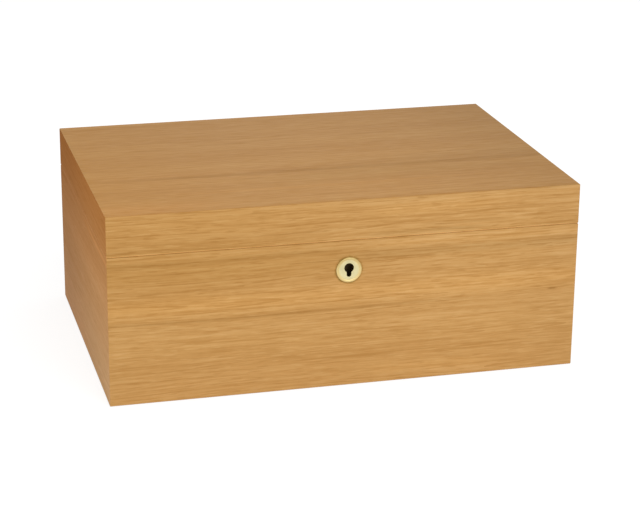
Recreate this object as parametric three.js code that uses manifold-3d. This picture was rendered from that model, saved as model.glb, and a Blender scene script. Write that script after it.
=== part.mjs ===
// A desktop cigar humidor: a veneered oak box with a hinged, locking lid, lined with cedar.
// Millimetres, +Z up. The origin is the middle of the felt that the box stands on, and the front faces -Y.
import * as THREE from "three";
import { mergeVertices } from "three/addons/utils/BufferGeometryUtils.js";
import Module from "manifold-3d";

const wasm = await Module();
wasm.setup();

// Carcass
const WIDTH = 350;
const DEPTH = 235;
const BODY_HEIGHT = 112; // from the table to the plane where lid and body part
const LID_HEIGHT = 30; // from that plane to the top
const WALL = 12;
const LID_TOP = 9; // thickness of the lid's top board
const BASE = 9; // thickness of the base panel
const BASE_REBATE = 5; // how far the base panel reaches into the walls
const ARRIS = 0.3; // fine chamfer on the outside edges
const SEAM_ROUND = 0.9; // radius of the edges where lid and body part
const SEAM_STEPS = 3; // facets to that radius
const REVEAL = 0.1; // gap between lid and body
const GLUE_LINE = 0.05; // gap between boards that are glued together
const FELT = 1.2;
const FELT_PROUD = 0.5; // how far the felt stands below the walls
const FELT_MARGIN = 0.5; // from the felt to the rebate that it lies in

// Cedar lining
const LINING = 5;
const LIP = 8; // how far the lining stands above the parting plane
const LIP_EASE = 1.2; // chamfer that leads the lid over the lip
const LIP_CLEARANCE = 0.6; // between the lip and the lid, outside and above

// Quadrant hinges
const OPEN_ANGLE = 95; // degrees at which the stays stop the lid
const AXIS_OUT = 2; // hinge axis behind the back of the box
const LEAF = 1.8; // thickness of a leaf
const LEAF_WIDTH = 7;
const LEAF_END = 11; // leaf in front of the stay
const BACK_ARM = 46; // reach of a leaf along the back, from the side of the box
const BARREL = 30; // length of the three knuckles
const KNUCKLE_RADIUS = 2.6;
const KNUCKLE_GAP = 0.4;
const PIN_RADIUS = 1.2;
const PIN_CLEARANCE = 0.2;
const PIN_DOME = 0.7; // rounded end of the pin outside the barrel
const MORTISE_CLEARANCE = 0.25; // round anything let into the wood
const STAY_THICKNESS = 1.6;
const STAY_WIDTH = 2.8;
const STAY_HEAD_RADIUS = 1;
const STAY_HEAD_LENGTH = 4.4; // cross peg that can't pass the slot in a leaf
const STAY_CLEARANCE = 0.4; // round the stay in its slots and pockets
const STAY_COVER = 4.4; // from the middle of the raised peg to the lid's top board
const SCREW_HEAD = 2.1; // radius of a countersunk head
const SCREW_SHANK = 1.1;
const SCREW_TAPER = 0.75; // share of a plate's thickness that the head's cone takes

// Box lock
const KEY_DROP = 22; // from the parting plane down to the middle of the escutcheon
const LOCK_WIDTH = 46;
const LOCK_HEIGHT = 34;
const LOCK_PLATE = 1; // plate that the case is made of
const LOCK_CAVITY = 5.6; // clear depth inside the case
const SELVEDGE_LENGTH = 62;
const SELVEDGE_WIDTH = 8.4;
const SELVEDGE = 1.8; // thickness of the plate let into the rim
const SELVEDGE_CORNER = 2.1;
const BOLT_THROW = 6;
const BOLT_CLEARANCE = 0.5; // bolt to case
const BOLT_GAP = 0.8; // unlocked bolt to link
const BOLT_BAR = 5.2; // height of the bolt's bar
const POST_WIDTH = 2.6;
const FINGER_THICKNESS = 2.4;
const FINGER_HEIGHT = 3;
const STUD_RADIUS = 1.2; // stud that guides the bolt
const TALON_WIDTH = 5; // notch that the key turns in
const TALON_DEPTH = 2.5;
const SPRING_HEIGHT = 3.4; // room under the bolt for its bow spring
const SPRING_SPAN = 10;
const SPRING_THICKNESS = 0.5;
const SPRING_WIDTH = 3;
const SEAT_GAP = 0.3; // between pieces that rest on each other and move
const LINK_SPACING = 18;
const LINK_THICKNESS = 1.6;
const LINK_WIDTH = 4.8;
const LINK_DROP = 10.5; // reach of a link below the parting plane
const LINK_FOOT = 1.3; // metal under the eye
const EYE_CLEARANCE = 0.3; // beside a finger in its eye
const EYE_HEADROOM = 0.8; // above and below it
const LINK_CLEARANCE = 0.5; // round a link in the selvedge
const LINK_PLATE_LENGTH = 46;
const LINK_PLATE_WIDTH = 7.4;
const LINK_PLATE = 1.6;
const LINK_PLATE_CORNER = 1.8;
const LOCK_SCREW_INSET = 5; // screw to the end of the selvedge or link plate

// Escutcheon and keyhole
const ESCUTCHEON_RADIUS = 9.5;
const ESCUTCHEON_RIM = 1.8; // width of the raised rim
const ESCUTCHEON_PROUD = 1.1; // height of the rim
const ESCUTCHEON_FACE = 0.7; // height of the dished face inside the rim
const THIMBLE_RADIUS = 6.5; // tube that lines the hole in the wall
const KEYHOLE_RADIUS = 3.6;
const KEYHOLE_RAISE = 1.5; // middle of the round above the middle of the escutcheon
const KEYHOLE_DROP = 5.3; // foot of the slot below it
const KEYHOLE_SLOT = 3.6;
const KEYHOLE_MARGIN = 0.3; // the case's keyhole is this much larger

// Tray, its runners and the dividers
const TRAY_WIDTH = 196;
const TRAY_HEIGHT = 34;
const TRAY_DROP = 8; // tray top below the parting plane
const TRAY_BOARD = 6;
const TRAY_FLOOR = 4;
const TRAY_REBATE = 3; // how far the floor reaches into the boards
const TRAY_CLEARANCE = 0.8; // tray to the lining
const GRIP_LENGTH = 44; // finger hole in each end of the tray
const GRIP_HEIGHT = 13;
const GRIP_DROP = 13; // middle of the finger hole below the tray's top
const VENT_WIDTH = 6; // air slots in the tray's floor
const VENT_PITCH = 26;
const VENT_MARGIN = 30; // from the ends of a slot to the tray's boards
const RUNNER_WIDTH = 7;
const RUNNER_HEIGHT = 9;
const RUNNER_EASE = 3; // chamfer under the runner
const DIVIDER = 4; // thickness of the tray's divider
const DIVIDER_DROP = 4; // its top below the tray's top
const LOWER_DIVIDER = 5;
const LOWER_DIVIDER_X = 70;
const THUMB_RADIUS = 16; // hollow in the top of a divider
const THUMB_DEPTH = 9;
const DIVIDER_CLEARANCE = 0.6; // ends of a divider to the boards beside it

// Humidifier and hygrometer under the lid
const PAIR_GAP = 36; // between the two
const HUMIDIFIER_LENGTH = 112;
const HUMIDIFIER_WIDTH = 52;
const HUMIDIFIER_HEIGHT = 14;
const HUMIDIFIER_CORNER = 8;
const HUMIDIFIER_SHELL = 1.6;
const COVER = 2; // slotted cover
const COVER_GAP = 0.3; // cover and foam in the case
const COVER_SLOT = 3.6;
const COVER_PITCH = 9;
const COVER_MARGIN = 8; // from the slots to the edge of the cover
const PLATE = 1.5; // mounting plate and magnet
const PLATE_INSET = 12; // plate inside the outline of the case
const PLATE_CORNER = 4;
const HYGROMETER_RADIUS = 23;
const HYGROMETER_DEPTH = 10.5;
const HYGROMETER_SHELL = 1.5;
const BEZEL_RADIUS = 24.5;
const BEZEL_DEPTH = 3; // skirt of the bezel round the case
const BEZEL_FACE = 1.5; // its rounded face below the glass
const BEZEL_EASE = 0.8;
const BEZEL_LIP = 3.4; // how far the bezel covers the glass
const GLASS = 1.2;
const DIAL = 0.8;
const DIAL_GAP = 0.3; // dial and glass in the case
const DIAL_SETBACK = 2.2; // height of the boss that carries the dial
const ARBOR_RADIUS = 0.7;
const ARBOR_CLEARANCE = 0.25;
const BOSS_RADIUS = 2.2;
const NEEDLE_LENGTH = 15.5;
const NEEDLE_TAIL = 5;
const NEEDLE_WIDTH = 1.6;
const NEEDLE_TIP_WIDTH = 0.4;
const NEEDLE_TAIL_WIDTH = 2.2;
const NEEDLE_THICKNESS = 0.5;
const HUB_RADIUS = 2.4;
const HUB_HEIGHT = 1.6;
const HUB_LIFT = 0.4; // needle's hub off the dial
const MAGNET_RADIUS = 15;

// Levels and half sizes that follow
const OVERCUT = 1; // how far a cutting shape reaches past the face it cuts
const HALF_WIDTH = WIDTH / 2;
const HALF_DEPTH = DEPTH / 2;
const PARTING = BODY_HEIGHT;
const BODY_RIM = PARTING - REVEAL / 2;
const LID_RIM = PARTING + REVEAL / 2;
const TOP = PARTING + LID_HEIGHT;
const BASE_BOTTOM = FELT + GLUE_LINE;
const BASE_TOP = BASE_BOTTOM + BASE;
const FLOOR = BASE_TOP + GLUE_LINE + LINING;
const LIP_TOP = PARTING + LIP;
const LID_WALL = WALL - LIP_CLEARANCE;
const CEILING = TOP - LID_TOP - GLUE_LINE - LINING;
const LINED_WIDTH = HALF_WIDTH - WALL - GLUE_LINE - LINING;
const LINED_DEPTH = HALF_DEPTH - WALL - GLUE_LINE - LINING;
const MITRE_GAP = GLUE_LINE * Math.SQRT1_2;

// Hinge geometry that follows
const AXIS_Y = HALF_DEPTH + AXIS_OUT;
const STAY_X = HALF_WIDTH - WALL / 2;
const HALF_OPEN = THREE.MathUtils.degToRad(OPEN_ANGLE / 2);
const STAY_CATCH = REVEAL / 2 + LEAF + STAY_HEAD_RADIUS + SEAT_GAP;
const STAY_RISE = LID_HEIGHT - LID_TOP - STAY_COVER;
const STAY_RUN = (STAY_RISE - STAY_CATCH * Math.cos(HALF_OPEN)) / Math.sin(HALF_OPEN);
const STAY_RADIUS = Math.hypot(STAY_CATCH, STAY_RUN);
const STAY_HALF_ANGLE = HALF_OPEN + Math.asin(STAY_CATCH / STAY_RADIUS);
const LEAF_FRONT = AXIS_Y - STAY_RADIUS - STAY_WIDTH / 2 - LEAF_END;
const LEAF_FAR = HALF_WIDTH - BACK_ARM;

// Lock geometry that follows
const KEY_Z = PARTING - KEY_DROP;
const LOCK_FRONT = -HALF_DEPTH + (WALL - 2 * LOCK_PLATE - LOCK_CAVITY - GLUE_LINE) / 2;
const CAVITY_FRONT = LOCK_FRONT + LOCK_PLATE;
const CAVITY_BACK = CAVITY_FRONT + LOCK_CAVITY;
const CAP_BACK = CAVITY_BACK + GLUE_LINE + LOCK_PLATE;
const BOLT_Y = (CAVITY_FRONT + CAVITY_BACK) / 2;
const LOCK_BOTTOM = BODY_RIM - LOCK_HEIGHT;
const SELVEDGE_BOTTOM = BODY_RIM - SELVEDGE;
const LINK_TIP = PARTING - LINK_DROP;
const FINGER_BOTTOM = LINK_TIP + LINK_FOOT + EYE_HEADROOM;
const FINGER_TOP = FINGER_BOTTOM + FINGER_HEIGHT;
const BAR_TOP = LINK_TIP - BOLT_GAP;
const BAR_BOTTOM = BAR_TOP - BOLT_BAR;
const BAR_LEFT = -LOCK_WIDTH / 2 + LOCK_PLATE + BOLT_GAP;
const BAR_RIGHT = LOCK_WIDTH / 2 - LOCK_PLATE - BOLT_GAP - BOLT_THROW;
const LINKS = [-LINK_SPACING / 2, LINK_SPACING / 2];

// Tray geometry that follows
const TRAY_TOP = PARTING - TRAY_DROP;
const TRAY_BOTTOM = TRAY_TOP - TRAY_HEIGHT;
const TRAY_LEFT = -LINED_WIDTH + TRAY_CLEARANCE;
const TRAY_RIGHT = TRAY_LEFT + TRAY_WIDTH;
const TRAY_MIDDLE = (TRAY_LEFT + TRAY_RIGHT) / 2;
const TRAY_HALF_DEPTH = LINED_DEPTH - TRAY_CLEARANCE;
const RUNNER_TOP = TRAY_BOTTOM - SEAT_GAP;
const RUNNER_BOTTOM = RUNNER_TOP - RUNNER_HEIGHT;

// Places of the pieces under the lid that follow
const PAIR_LENGTH = HUMIDIFIER_LENGTH + PAIR_GAP + 2 * BEZEL_RADIUS;
const HUMIDIFIER_X = -PAIR_LENGTH / 2 + HUMIDIFIER_LENGTH / 2;
const HYGROMETER_X = PAIR_LENGTH / 2 - BEZEL_RADIUS;
const HUNG = CEILING - GLUE_LINE - PLATE; // underside of the mounting plate and magnet
const CASE_BACK = HUNG - GLUE_LINE;
const DIAL_BACK = CASE_BACK - HYGROMETER_SHELL - DIAL_SETBACK - GLUE_LINE;
const DIAL_FACE = DIAL_BACK - DIAL;
const CASE_MOUTH = CASE_BACK - HYGROMETER_DEPTH;

// A closed geometry as a solid that can be cut and joined.
function solidOf(geometry) {
  geometry.deleteAttribute("normal");
  geometry.deleteAttribute("uv");
  const merged = mergeVertices(geometry, 1e-4);
  const vertProperties = merged.attributes.position.array;
  const triVerts = new Uint32Array(merged.index.array);
  return new wasm.Manifold(new wasm.Mesh({ numProp: 3, vertProperties, triVerts }));
}

// A solid's surface as a geometry with flat faces.
function geometryOf(solid) {
  const { vertProperties, triVerts } = solid.getMesh();
  const geometry = new THREE.BufferGeometry();
  geometry.setAttribute("position", new THREE.BufferAttribute(vertProperties, 3));
  geometry.setIndex(new THREE.BufferAttribute(triVerts, 1));
  const flat = geometry.toNonIndexed();
  flat.computeVertexNormals();
  return flat;
}

// A box between two limits along each axis.
function block([x0, x1], [y0, y1], [z0, z1]) {
  const geometry = new THREE.BoxGeometry(x1 - x0, y1 - y0, z1 - z0);
  geometry.translate((x0 + x1) / 2, (y0 + y1) / 2, (z0 + z1) / 2);
  return solidOf(geometry);
}

// The limits of a span of a given half length about a middle.
function about(middle, half) {
  return [middle - half, middle + half];
}

function shapeOf(points) {
  return new THREE.Shape(points.map(([a, b]) => new THREE.Vector2(a, b)));
}

// How an outline lies in the part: across x it is drawn in (y, z), across y in (x, z), across z in (x, y).
const ACROSS = {
  x: new THREE.Matrix4().makeBasis(
    new THREE.Vector3(0, 1, 0), new THREE.Vector3(0, 0, 1), new THREE.Vector3(1, 0, 0)),
  y: new THREE.Matrix4().makeBasis(
    new THREE.Vector3(1, 0, 0), new THREE.Vector3(0, 0, 1), new THREE.Vector3(0, -1, 0)),
  z: new THREE.Matrix4(),
};

// An outline drawn across an axis and extruded along it between two limits, with so many facets to each arc.
function prism(axis, shape, [from, to], facets = 2) {
  const curveSegments = facets / 2;
  const geometry = new THREE.ExtrudeGeometry(shape, { depth: to - from, bevelEnabled: false, curveSegments });
  geometry.translate(0, 0, axis === "y" ? -to : from);
  geometry.applyMatrix4(ACROSS[axis]);
  return solidOf(geometry);
}

// A round bar along an axis between two limits.
function bar(axis, [u, v], radius, limits, facets = 24) {
  const shape = new THREE.Shape();
  shape.absarc(u, v, radius, 0, 2 * Math.PI);
  return prism(axis, shape, limits, facets);
}

// A profile of (radius, height) turned about an upright axis.
function turned(profile, facets = 40) {
  const points = profile.map(([r, z]) => new THREE.Vector2(r, z));
  const geometry = new THREE.LatheGeometry(points, facets);
  geometry.rotateX(Math.PI / 2);
  return solidOf(geometry);
}

function union(solids) {
  return solids.reduce((whole, solid) => whole.add(solid));
}

function cut(solid, tools) {
  return tools.reduce((rest, tool) => rest.subtract(tool), solid);
}

// A rectangle with round corners, centred on a point.
function roundedRectangle(x, y, halfLength, halfWidth, radius) {
  const shape = new THREE.Shape();
  shape.absarc(x + halfLength - radius, y + halfWidth - radius, radius, 0, Math.PI / 2);
  shape.absarc(x - halfLength + radius, y + halfWidth - radius, radius, Math.PI / 2, Math.PI);
  shape.absarc(x - halfLength + radius, y - halfWidth + radius, radius, Math.PI, 1.5 * Math.PI);
  shape.absarc(x + halfLength - radius, y - halfWidth + radius, radius, 1.5 * Math.PI, 2 * Math.PI);
  return shape;
}

// An outline extruded upwards between two heights, with the edges of both ends eased in so many steps.
function easedPrism(shape, bottom, top, ease, bevelSegments) {
  const geometry = new THREE.ExtrudeGeometry(shape, {
    depth: top - bottom - 2 * ease,
    bevelThickness: ease,
    bevelSize: ease,
    bevelOffset: -ease,
    bevelSegments,
  });
  geometry.translate(0, 0, bottom + ease);
  return solidOf(geometry);
}

// The whole outside of the body or the lid as one block, with an arris on every edge.
// The edges at the seam, which is above the body and below the lid, are rounded.
function outsideBlock(bottom, top, seamAbove) {
  const eased = shapeOf([
    [-HALF_WIDTH + ARRIS, -HALF_DEPTH],
    [HALF_WIDTH - ARRIS, -HALF_DEPTH],
    [HALF_WIDTH, -HALF_DEPTH + ARRIS],
    [HALF_WIDTH, HALF_DEPTH - ARRIS],
    [HALF_WIDTH - ARRIS, HALF_DEPTH],
    [-HALF_WIDTH + ARRIS, HALF_DEPTH],
    [-HALF_WIDTH, HALF_DEPTH - ARRIS],
    [-HALF_WIDTH, -HALF_DEPTH + ARRIS],
  ]);
  const square = shapeOf([
    [-HALF_WIDTH, -HALF_DEPTH],
    [HALF_WIDTH, -HALF_DEPTH],
    [HALF_WIDTH, HALF_DEPTH],
    [-HALF_WIDTH, HALF_DEPTH],
  ]);
  const whole = easedPrism(eased, bottom, top, ARRIS, 1);
  const [from, to] = seamAbove ? [bottom - SEAM_ROUND, top] : [bottom, top + SEAM_ROUND];
  return whole.intersect(easedPrism(square, from, to, SEAM_ROUND, SEAM_STEPS));
}

// A wall of the block: its ends are mitred at 45 degrees, half a glue line short of the next wall.
// along is the wall's run, "x" for front and back or "y" for left and right, and side is -1 or 1.
function mitredWall(outside, along, side, thickness) {
  const [halfLength, halfAcross] = along === "x" ? [HALF_WIDTH, HALF_DEPTH] : [HALF_DEPTH, HALF_WIDTH];
  const outer = halfLength + OVERCUT - MITRE_GAP;
  const inner = halfLength - thickness - MITRE_GAP;
  const far = side * (halfAcross + OVERCUT);
  const near = side * (halfAcross - thickness);
  const plan = [[-outer, far], [outer, far], [inner, near], [-inner, near]];
  const points = along === "x" ? plan : plan.map(([a, b]) => [b, a]);
  return prism("z", shapeOf(points), [-OVERCUT, TOP + OVERCUT]).intersect(outside);
}

// The lid's top board, mitred on all four edges; a drop lowers it to leave the glue line.
function mitredTop(drop) {
  const profile = (half) => shapeOf([
    [half + OVERCUT, TOP + OVERCUT - drop],
    [-half - OVERCUT, TOP + OVERCUT - drop],
    [-half + LID_TOP, TOP - LID_TOP - drop],
    [half - LID_TOP, TOP - LID_TOP - drop],
  ]);
  const acrossY = prism("y", profile(HALF_WIDTH), about(0, HALF_DEPTH + 2 * OVERCUT));
  const acrossX = prism("x", profile(HALF_DEPTH), about(0, HALF_WIDTH + 2 * OVERCUT));
  return acrossY.intersect(acrossX);
}

// Plan of a hinge leaf: one arm along the side wall and one along the back, grown all round by a margin.
function leafPlan(side, margin) {
  const outside = STAY_X + LEAF_WIDTH / 2 + margin;
  const inside = STAY_X - LEAF_WIDTH / 2 - margin;
  const front = LEAF_FRONT - margin;
  const back = HALF_DEPTH - WALL / 2 + LEAF_WIDTH / 2 + margin;
  const armFront = HALF_DEPTH - WALL / 2 - LEAF_WIDTH / 2 - margin;
  const far = LEAF_FAR - margin;
  const plan = [
    [outside, front],
    [outside, back],
    [far, back],
    [far, armFront],
    [inside, armFront],
    [inside, front],
  ];
  return shapeOf(plan.map(([x, y]) => [side * x, y]));
}

// Limits along x, mirrored to the left or right side of the box.
function sided(side, [x0, x1]) {
  return side > 0 ? [x0, x1] : [-x1, -x0];
}

// Limits along x of one of a hinge's three knuckles.
function knuckleSpan(side, index) {
  const start = LEAF_FAR + (index * BARREL) / 3;
  return sided(side, [start + KNUCKLE_GAP / 2, start + BARREL / 3 - KNUCKLE_GAP / 2]);
}

// Sector of the ring that a stay swings in, between two angles above the parting plane.
function staySector(halfWidth, from, to) {
  const shape = new THREE.Shape();
  shape.absarc(AXIS_Y, PARTING, STAY_RADIUS + halfWidth, Math.PI - to, Math.PI - from);
  shape.absarc(AXIS_Y, PARTING, STAY_RADIUS - halfWidth, Math.PI - from, Math.PI - to, true);
  return shape;
}

// Room in the walls for a stay and its pegs.
function stayPocket(side) {
  const spare = (STAY_HEAD_RADIUS + STAY_CLEARANCE) / (STAY_RADIUS - STAY_WIDTH / 2);
  const reach = STAY_HALF_ANGLE + spare;
  const sector = staySector(STAY_WIDTH / 2 + STAY_CLEARANCE, -reach, reach);
  return prism("x", sector, about(side * STAY_X, STAY_HEAD_LENGTH / 2 + STAY_CLEARANCE), 20);
}

// Recess in the rims for both leaves and the barrel of a hinge.
function hingeMortise(side) {
  const depth = REVEAL / 2 + LEAF + MORTISE_CLEARANCE;
  const room = KNUCKLE_RADIUS + MORTISE_CLEARANCE;
  const barrel = [LEAF_FAR - MORTISE_CLEARANCE, LEAF_FAR + BARREL + MORTISE_CLEARANCE];
  const leaves = prism("z", leafPlan(side, MORTISE_CLEARANCE), about(PARTING, depth));
  const back = block(sided(side, barrel), [AXIS_Y - room, AXIS_Y + room], about(PARTING, room));
  const throat = block(sided(side, barrel), [HALF_DEPTH - WALL / 2, AXIS_Y], about(PARTING, depth));
  return union([leaves, back, throat]);
}

// A countersunk screw hole through a leaf or plate, open at a face and narrowing away from it.
function countersink([x, y], face, inward, thickness) {
  const profile = [
    [0, -OVERCUT],
    [SCREW_HEAD, -OVERCUT],
    [SCREW_HEAD, 0],
    [SCREW_SHANK, thickness * SCREW_TAPER],
    [SCREW_SHANK, thickness + OVERCUT],
    [0, thickness + OVERCUT],
  ];
  const heights = profile.map(([r, h]) => [r, inward * h]);
  const hole = turned(inward > 0 ? heights : heights.reverse(), 12);
  return hole.translate(x, y, face);
}

// Screw places of a hinge leaf: two on the side arm and two on the back arm.
function leafScrews(side) {
  const back = HALF_DEPTH - WALL / 2;
  const places = [
    [STAY_X, LEAF_FRONT + LEAF_END / 2],
    [STAY_X, back],
    [LEAF_FAR + BARREL / 4, back],
    [LEAF_FAR + (BARREL * 3) / 4, back],
  ];
  return places.map(([x, y]) => [side * x, y]);
}

// A leaf of a hinge with the knuckles it carries. inward is -1 for the body's leaf and 1 for the lid's.
function hingeLeaf(side, inward, knuckles) {
  const face = PARTING + (inward * REVEAL) / 2;
  const limits = inward > 0 ? [face, face + LEAF] : [face - LEAF, face];
  const plate = prism("z", leafPlan(side, 0), limits);
  const barrels = knuckles.map((index) => {
    const span = knuckleSpan(side, index);
    const tongue = block(span, [HALF_DEPTH - WALL / 2, AXIS_Y], limits);
    return tongue.add(bar("x", [AXIS_Y, PARTING], KNUCKLE_RADIUS, span));
  });
  const bore = bar("x", [AXIS_Y, PARTING], PIN_RADIUS + PIN_CLEARANCE, about(0, WIDTH));
  const slot = block(
    about(side * STAY_X, STAY_THICKNESS / 2 + STAY_CLEARANCE),
    about(AXIS_Y - STAY_RADIUS, STAY_WIDTH / 2 + STAY_CLEARANCE),
    about(PARTING, LEAF + REVEAL),
  );
  const holes = leafScrews(side).map((place) => countersink(place, face, inward, LEAF));
  return cut(union([plate, ...barrels]), [bore, slot, ...holes]);
}

// Hinge pin with a rounded dome at each end.
function hingePin(side) {
  const half = BARREL / 2;
  const middle = side * (LEAF_FAR + half);
  const shoulder = PIN_RADIUS * Math.SQRT1_2;
  const rise = PIN_DOME * Math.SQRT1_2;
  const profile = [
    [0, -half - PIN_DOME],
    [shoulder, -half - rise],
    [PIN_RADIUS, -half],
    [PIN_RADIUS, half],
    [shoulder, half + rise],
    [0, half + PIN_DOME],
  ];
  return turned(profile, 20).rotate(0, 90, 0).translate(middle, AXIS_Y, PARTING);
}

// Curved stay with a cross peg at each end. At rest half of it lies in the body and half in the lid.
function stay(side) {
  const sector = staySector(STAY_WIDTH / 2, -STAY_HALF_ANGLE, STAY_HALF_ANGLE);
  const arm = prism("x", sector, about(side * STAY_X, STAY_THICKNESS / 2), 20);
  const pegs = [-STAY_HALF_ANGLE, STAY_HALF_ANGLE].map((angle) => {
    const place = [AXIS_Y - STAY_RADIUS * Math.cos(angle), PARTING + STAY_RADIUS * Math.sin(angle)];
    return bar("x", place, STAY_HEAD_RADIUS, about(side * STAY_X, STAY_HEAD_LENGTH / 2), 12);
  });
  return union([arm, ...pegs]);
}

// Outline of the keyhole: a round above a slot with a rounded foot.
function keyhole(margin) {
  const radius = KEYHOLE_RADIUS + margin;
  const half = KEYHOLE_SLOT / 2 + margin;
  const middle = KEY_Z + KEYHOLE_RAISE;
  const waist = Math.asin(half / radius);
  const shape = new THREE.Shape();
  shape.absarc(0, middle, radius, -Math.PI / 2 + waist, 1.5 * Math.PI - waist);
  shape.absarc(0, KEY_Z - KEYHOLE_DROP + half - margin, half, Math.PI, 2 * Math.PI);
  return shape;
}

// Round keyhole plate with a beaded rim, a dished face and a thimble that lines the hole in the wall.
function escutcheon() {
  const rimMiddle = ESCUTCHEON_RADIUS - ESCUTCHEON_RIM / 2;
  const rimInside = ESCUTCHEON_RADIUS - ESCUTCHEON_RIM;
  const thimble = LOCK_FRONT + HALF_DEPTH - GLUE_LINE;
  const beadFoot = ESCUTCHEON_PROUD / 2;
  const bead = [30, 60, 90, 120, 150].map((degrees) => {
    const angle = THREE.MathUtils.degToRad(degrees);
    const out = (ESCUTCHEON_RIM / 2) * Math.cos(angle);
    return [rimMiddle + out, beadFoot + (ESCUTCHEON_PROUD - beadFoot) * Math.sin(angle)];
  });
  const profile = [
    [0, -thimble],
    [THIMBLE_RADIUS, -thimble],
    [THIMBLE_RADIUS, GLUE_LINE],
    [ESCUTCHEON_RADIUS, GLUE_LINE],
    [ESCUTCHEON_RADIUS, beadFoot],
    ...bead,
    [rimInside, ESCUTCHEON_FACE],
    [0, ESCUTCHEON_FACE],
  ];
  const plate = turned(profile, 48).rotate(90, 0, 0).translate(0, -HALF_DEPTH, KEY_Z);
  return plate.subtract(prism("y", keyhole(0), about(-HALF_DEPTH, WALL), 16));
}

// Mortise in the front wall for the lock, its selvedge and the thimble.
function lockMortise() {
  const pocket = block(
    about(0, LOCK_WIDTH / 2 + MORTISE_CLEARANCE),
    [LOCK_FRONT - MORTISE_CLEARANCE, CAP_BACK + MORTISE_CLEARANCE],
    [LOCK_BOTTOM - MORTISE_CLEARANCE, BODY_RIM + OVERCUT],
  );
  const recess = block(
    about(0, SELVEDGE_LENGTH / 2 + MORTISE_CLEARANCE),
    about(BOLT_Y, SELVEDGE_WIDTH / 2 + MORTISE_CLEARANCE),
    [SELVEDGE_BOTTOM - MORTISE_CLEARANCE, BODY_RIM + OVERCUT],
  );
  const run = [-HALF_DEPTH - OVERCUT, LOCK_FRONT];
  const hole = bar("y", [0, KEY_Z], THIMBLE_RADIUS + MORTISE_CLEARANCE, run, 32);
  return union([pocket, recess, hole]);
}

// Lock case, open at the back, with the selvedge that screws to the rim, a guide stud and a spring ledge.
function lockCase() {
  const half = LOCK_WIDTH / 2;
  const inside = half - LOCK_PLATE;
  const rooted = CAVITY_FRONT - LOCK_PLATE / 2;
  const shell = block(about(0, half), [LOCK_FRONT, CAVITY_BACK], [LOCK_BOTTOM, BODY_RIM - SELVEDGE / 2]);
  const cavity = block(
    about(0, inside),
    [CAVITY_FRONT, CAVITY_BACK + OVERCUT],
    [LOCK_BOTTOM + LOCK_PLATE, SELVEDGE_BOTTOM],
  );
  const selvedge = prism(
    "z",
    roundedRectangle(0, BOLT_Y, SELVEDGE_LENGTH / 2, SELVEDGE_WIDTH / 2, SELVEDGE_CORNER),
    [SELVEDGE_BOTTOM, BODY_RIM],
    4,
  );
  const stud = bar("y", [studX(), barMiddle()], STUD_RADIUS, [rooted, CAVITY_BACK], 16);
  const ledge = block(
    [inside - SPRING_SPAN - BOLT_THROW - BOLT_GAP, inside + LOCK_PLATE / 2],
    [rooted, CAVITY_BACK - BOLT_CLEARANCE],
    [BAR_BOTTOM - SPRING_HEIGHT - LOCK_PLATE, BAR_BOTTOM - SPRING_HEIGHT],
  );
  const slots = LINKS.map((x) => block(
    about(x, LINK_THICKNESS / 2 + LINK_CLEARANCE),
    about(BOLT_Y, LINK_WIDTH / 2 + LINK_CLEARANCE),
    [SELVEDGE_BOTTOM - OVERCUT, BODY_RIM + OVERCUT],
  ));
  const key = prism("y", keyhole(KEYHOLE_MARGIN), [LOCK_FRONT - OVERCUT, CAVITY_FRONT + OVERCUT], 16);
  const screwX = SELVEDGE_LENGTH / 2 - LOCK_SCREW_INSET + SCREW_SHANK;
  const screws = [-screwX, screwX].map((x) => countersink([x, BOLT_Y], BODY_RIM, -1, SELVEDGE));
  return cut(union([shell.subtract(cavity), selvedge, stud, ledge]), [...slots, key, ...screws]);
}

// Plate that closes the back of the lock case.
function lockCap() {
  return block(
    about(0, LOCK_WIDTH / 2),
    [CAVITY_BACK + GLUE_LINE, CAP_BACK],
    [LOCK_BOTTOM, SELVEDGE_BOTTOM - MORTISE_CLEARANCE],
  );
}

function barMiddle() {
  return (BAR_TOP + BAR_BOTTOM) / 2;
}

// The guide stud stands at the end of its slot when the bolt is back.
function studX() {
  return BAR_RIGHT - STUD_RADIUS * 2 - BOLT_CLEARANCE;
}

// Sliding bolt, drawn back: a bar with a hooked finger for each link, a slot for the stud and a key notch.
function lockBolt() {
  const half = LOCK_CAVITY / 2 - BOLT_CLEARANCE;
  const whole = block([BAR_LEFT, BAR_RIGHT], about(BOLT_Y, half), [BAR_BOTTOM, BAR_TOP]);
  const hooks = LINKS.map((x) => {
    const tip = x - LINK_THICKNESS / 2 - BOLT_GAP;
    const post = tip - BOLT_THROW;
    const shape = shapeOf([
      [post - POST_WIDTH, barMiddle()],
      [post, barMiddle()],
      [post, FINGER_BOTTOM],
      [tip, FINGER_BOTTOM],
      [tip, FINGER_TOP],
      [post - POST_WIDTH, FINGER_TOP],
    ]);
    return prism("y", shape, about(BOLT_Y, FINGER_THICKNESS / 2));
  });
  const slotHalf = STUD_RADIUS + BOLT_CLEARANCE;
  const slotRun = [studX() - BOLT_THROW - slotHalf, studX() + slotHalf];
  const slot = block(slotRun, about(BOLT_Y, LOCK_CAVITY), about(barMiddle(), slotHalf));
  const talonX = -BOLT_THROW / 2;
  const talon = block(
    about(talonX, TALON_WIDTH / 2),
    about(BOLT_Y, LOCK_CAVITY),
    [BAR_BOTTOM - OVERCUT, BAR_BOTTOM + TALON_DEPTH],
  );
  return cut(union([whole, ...hooks]), [slot, talon]);
}

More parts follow.
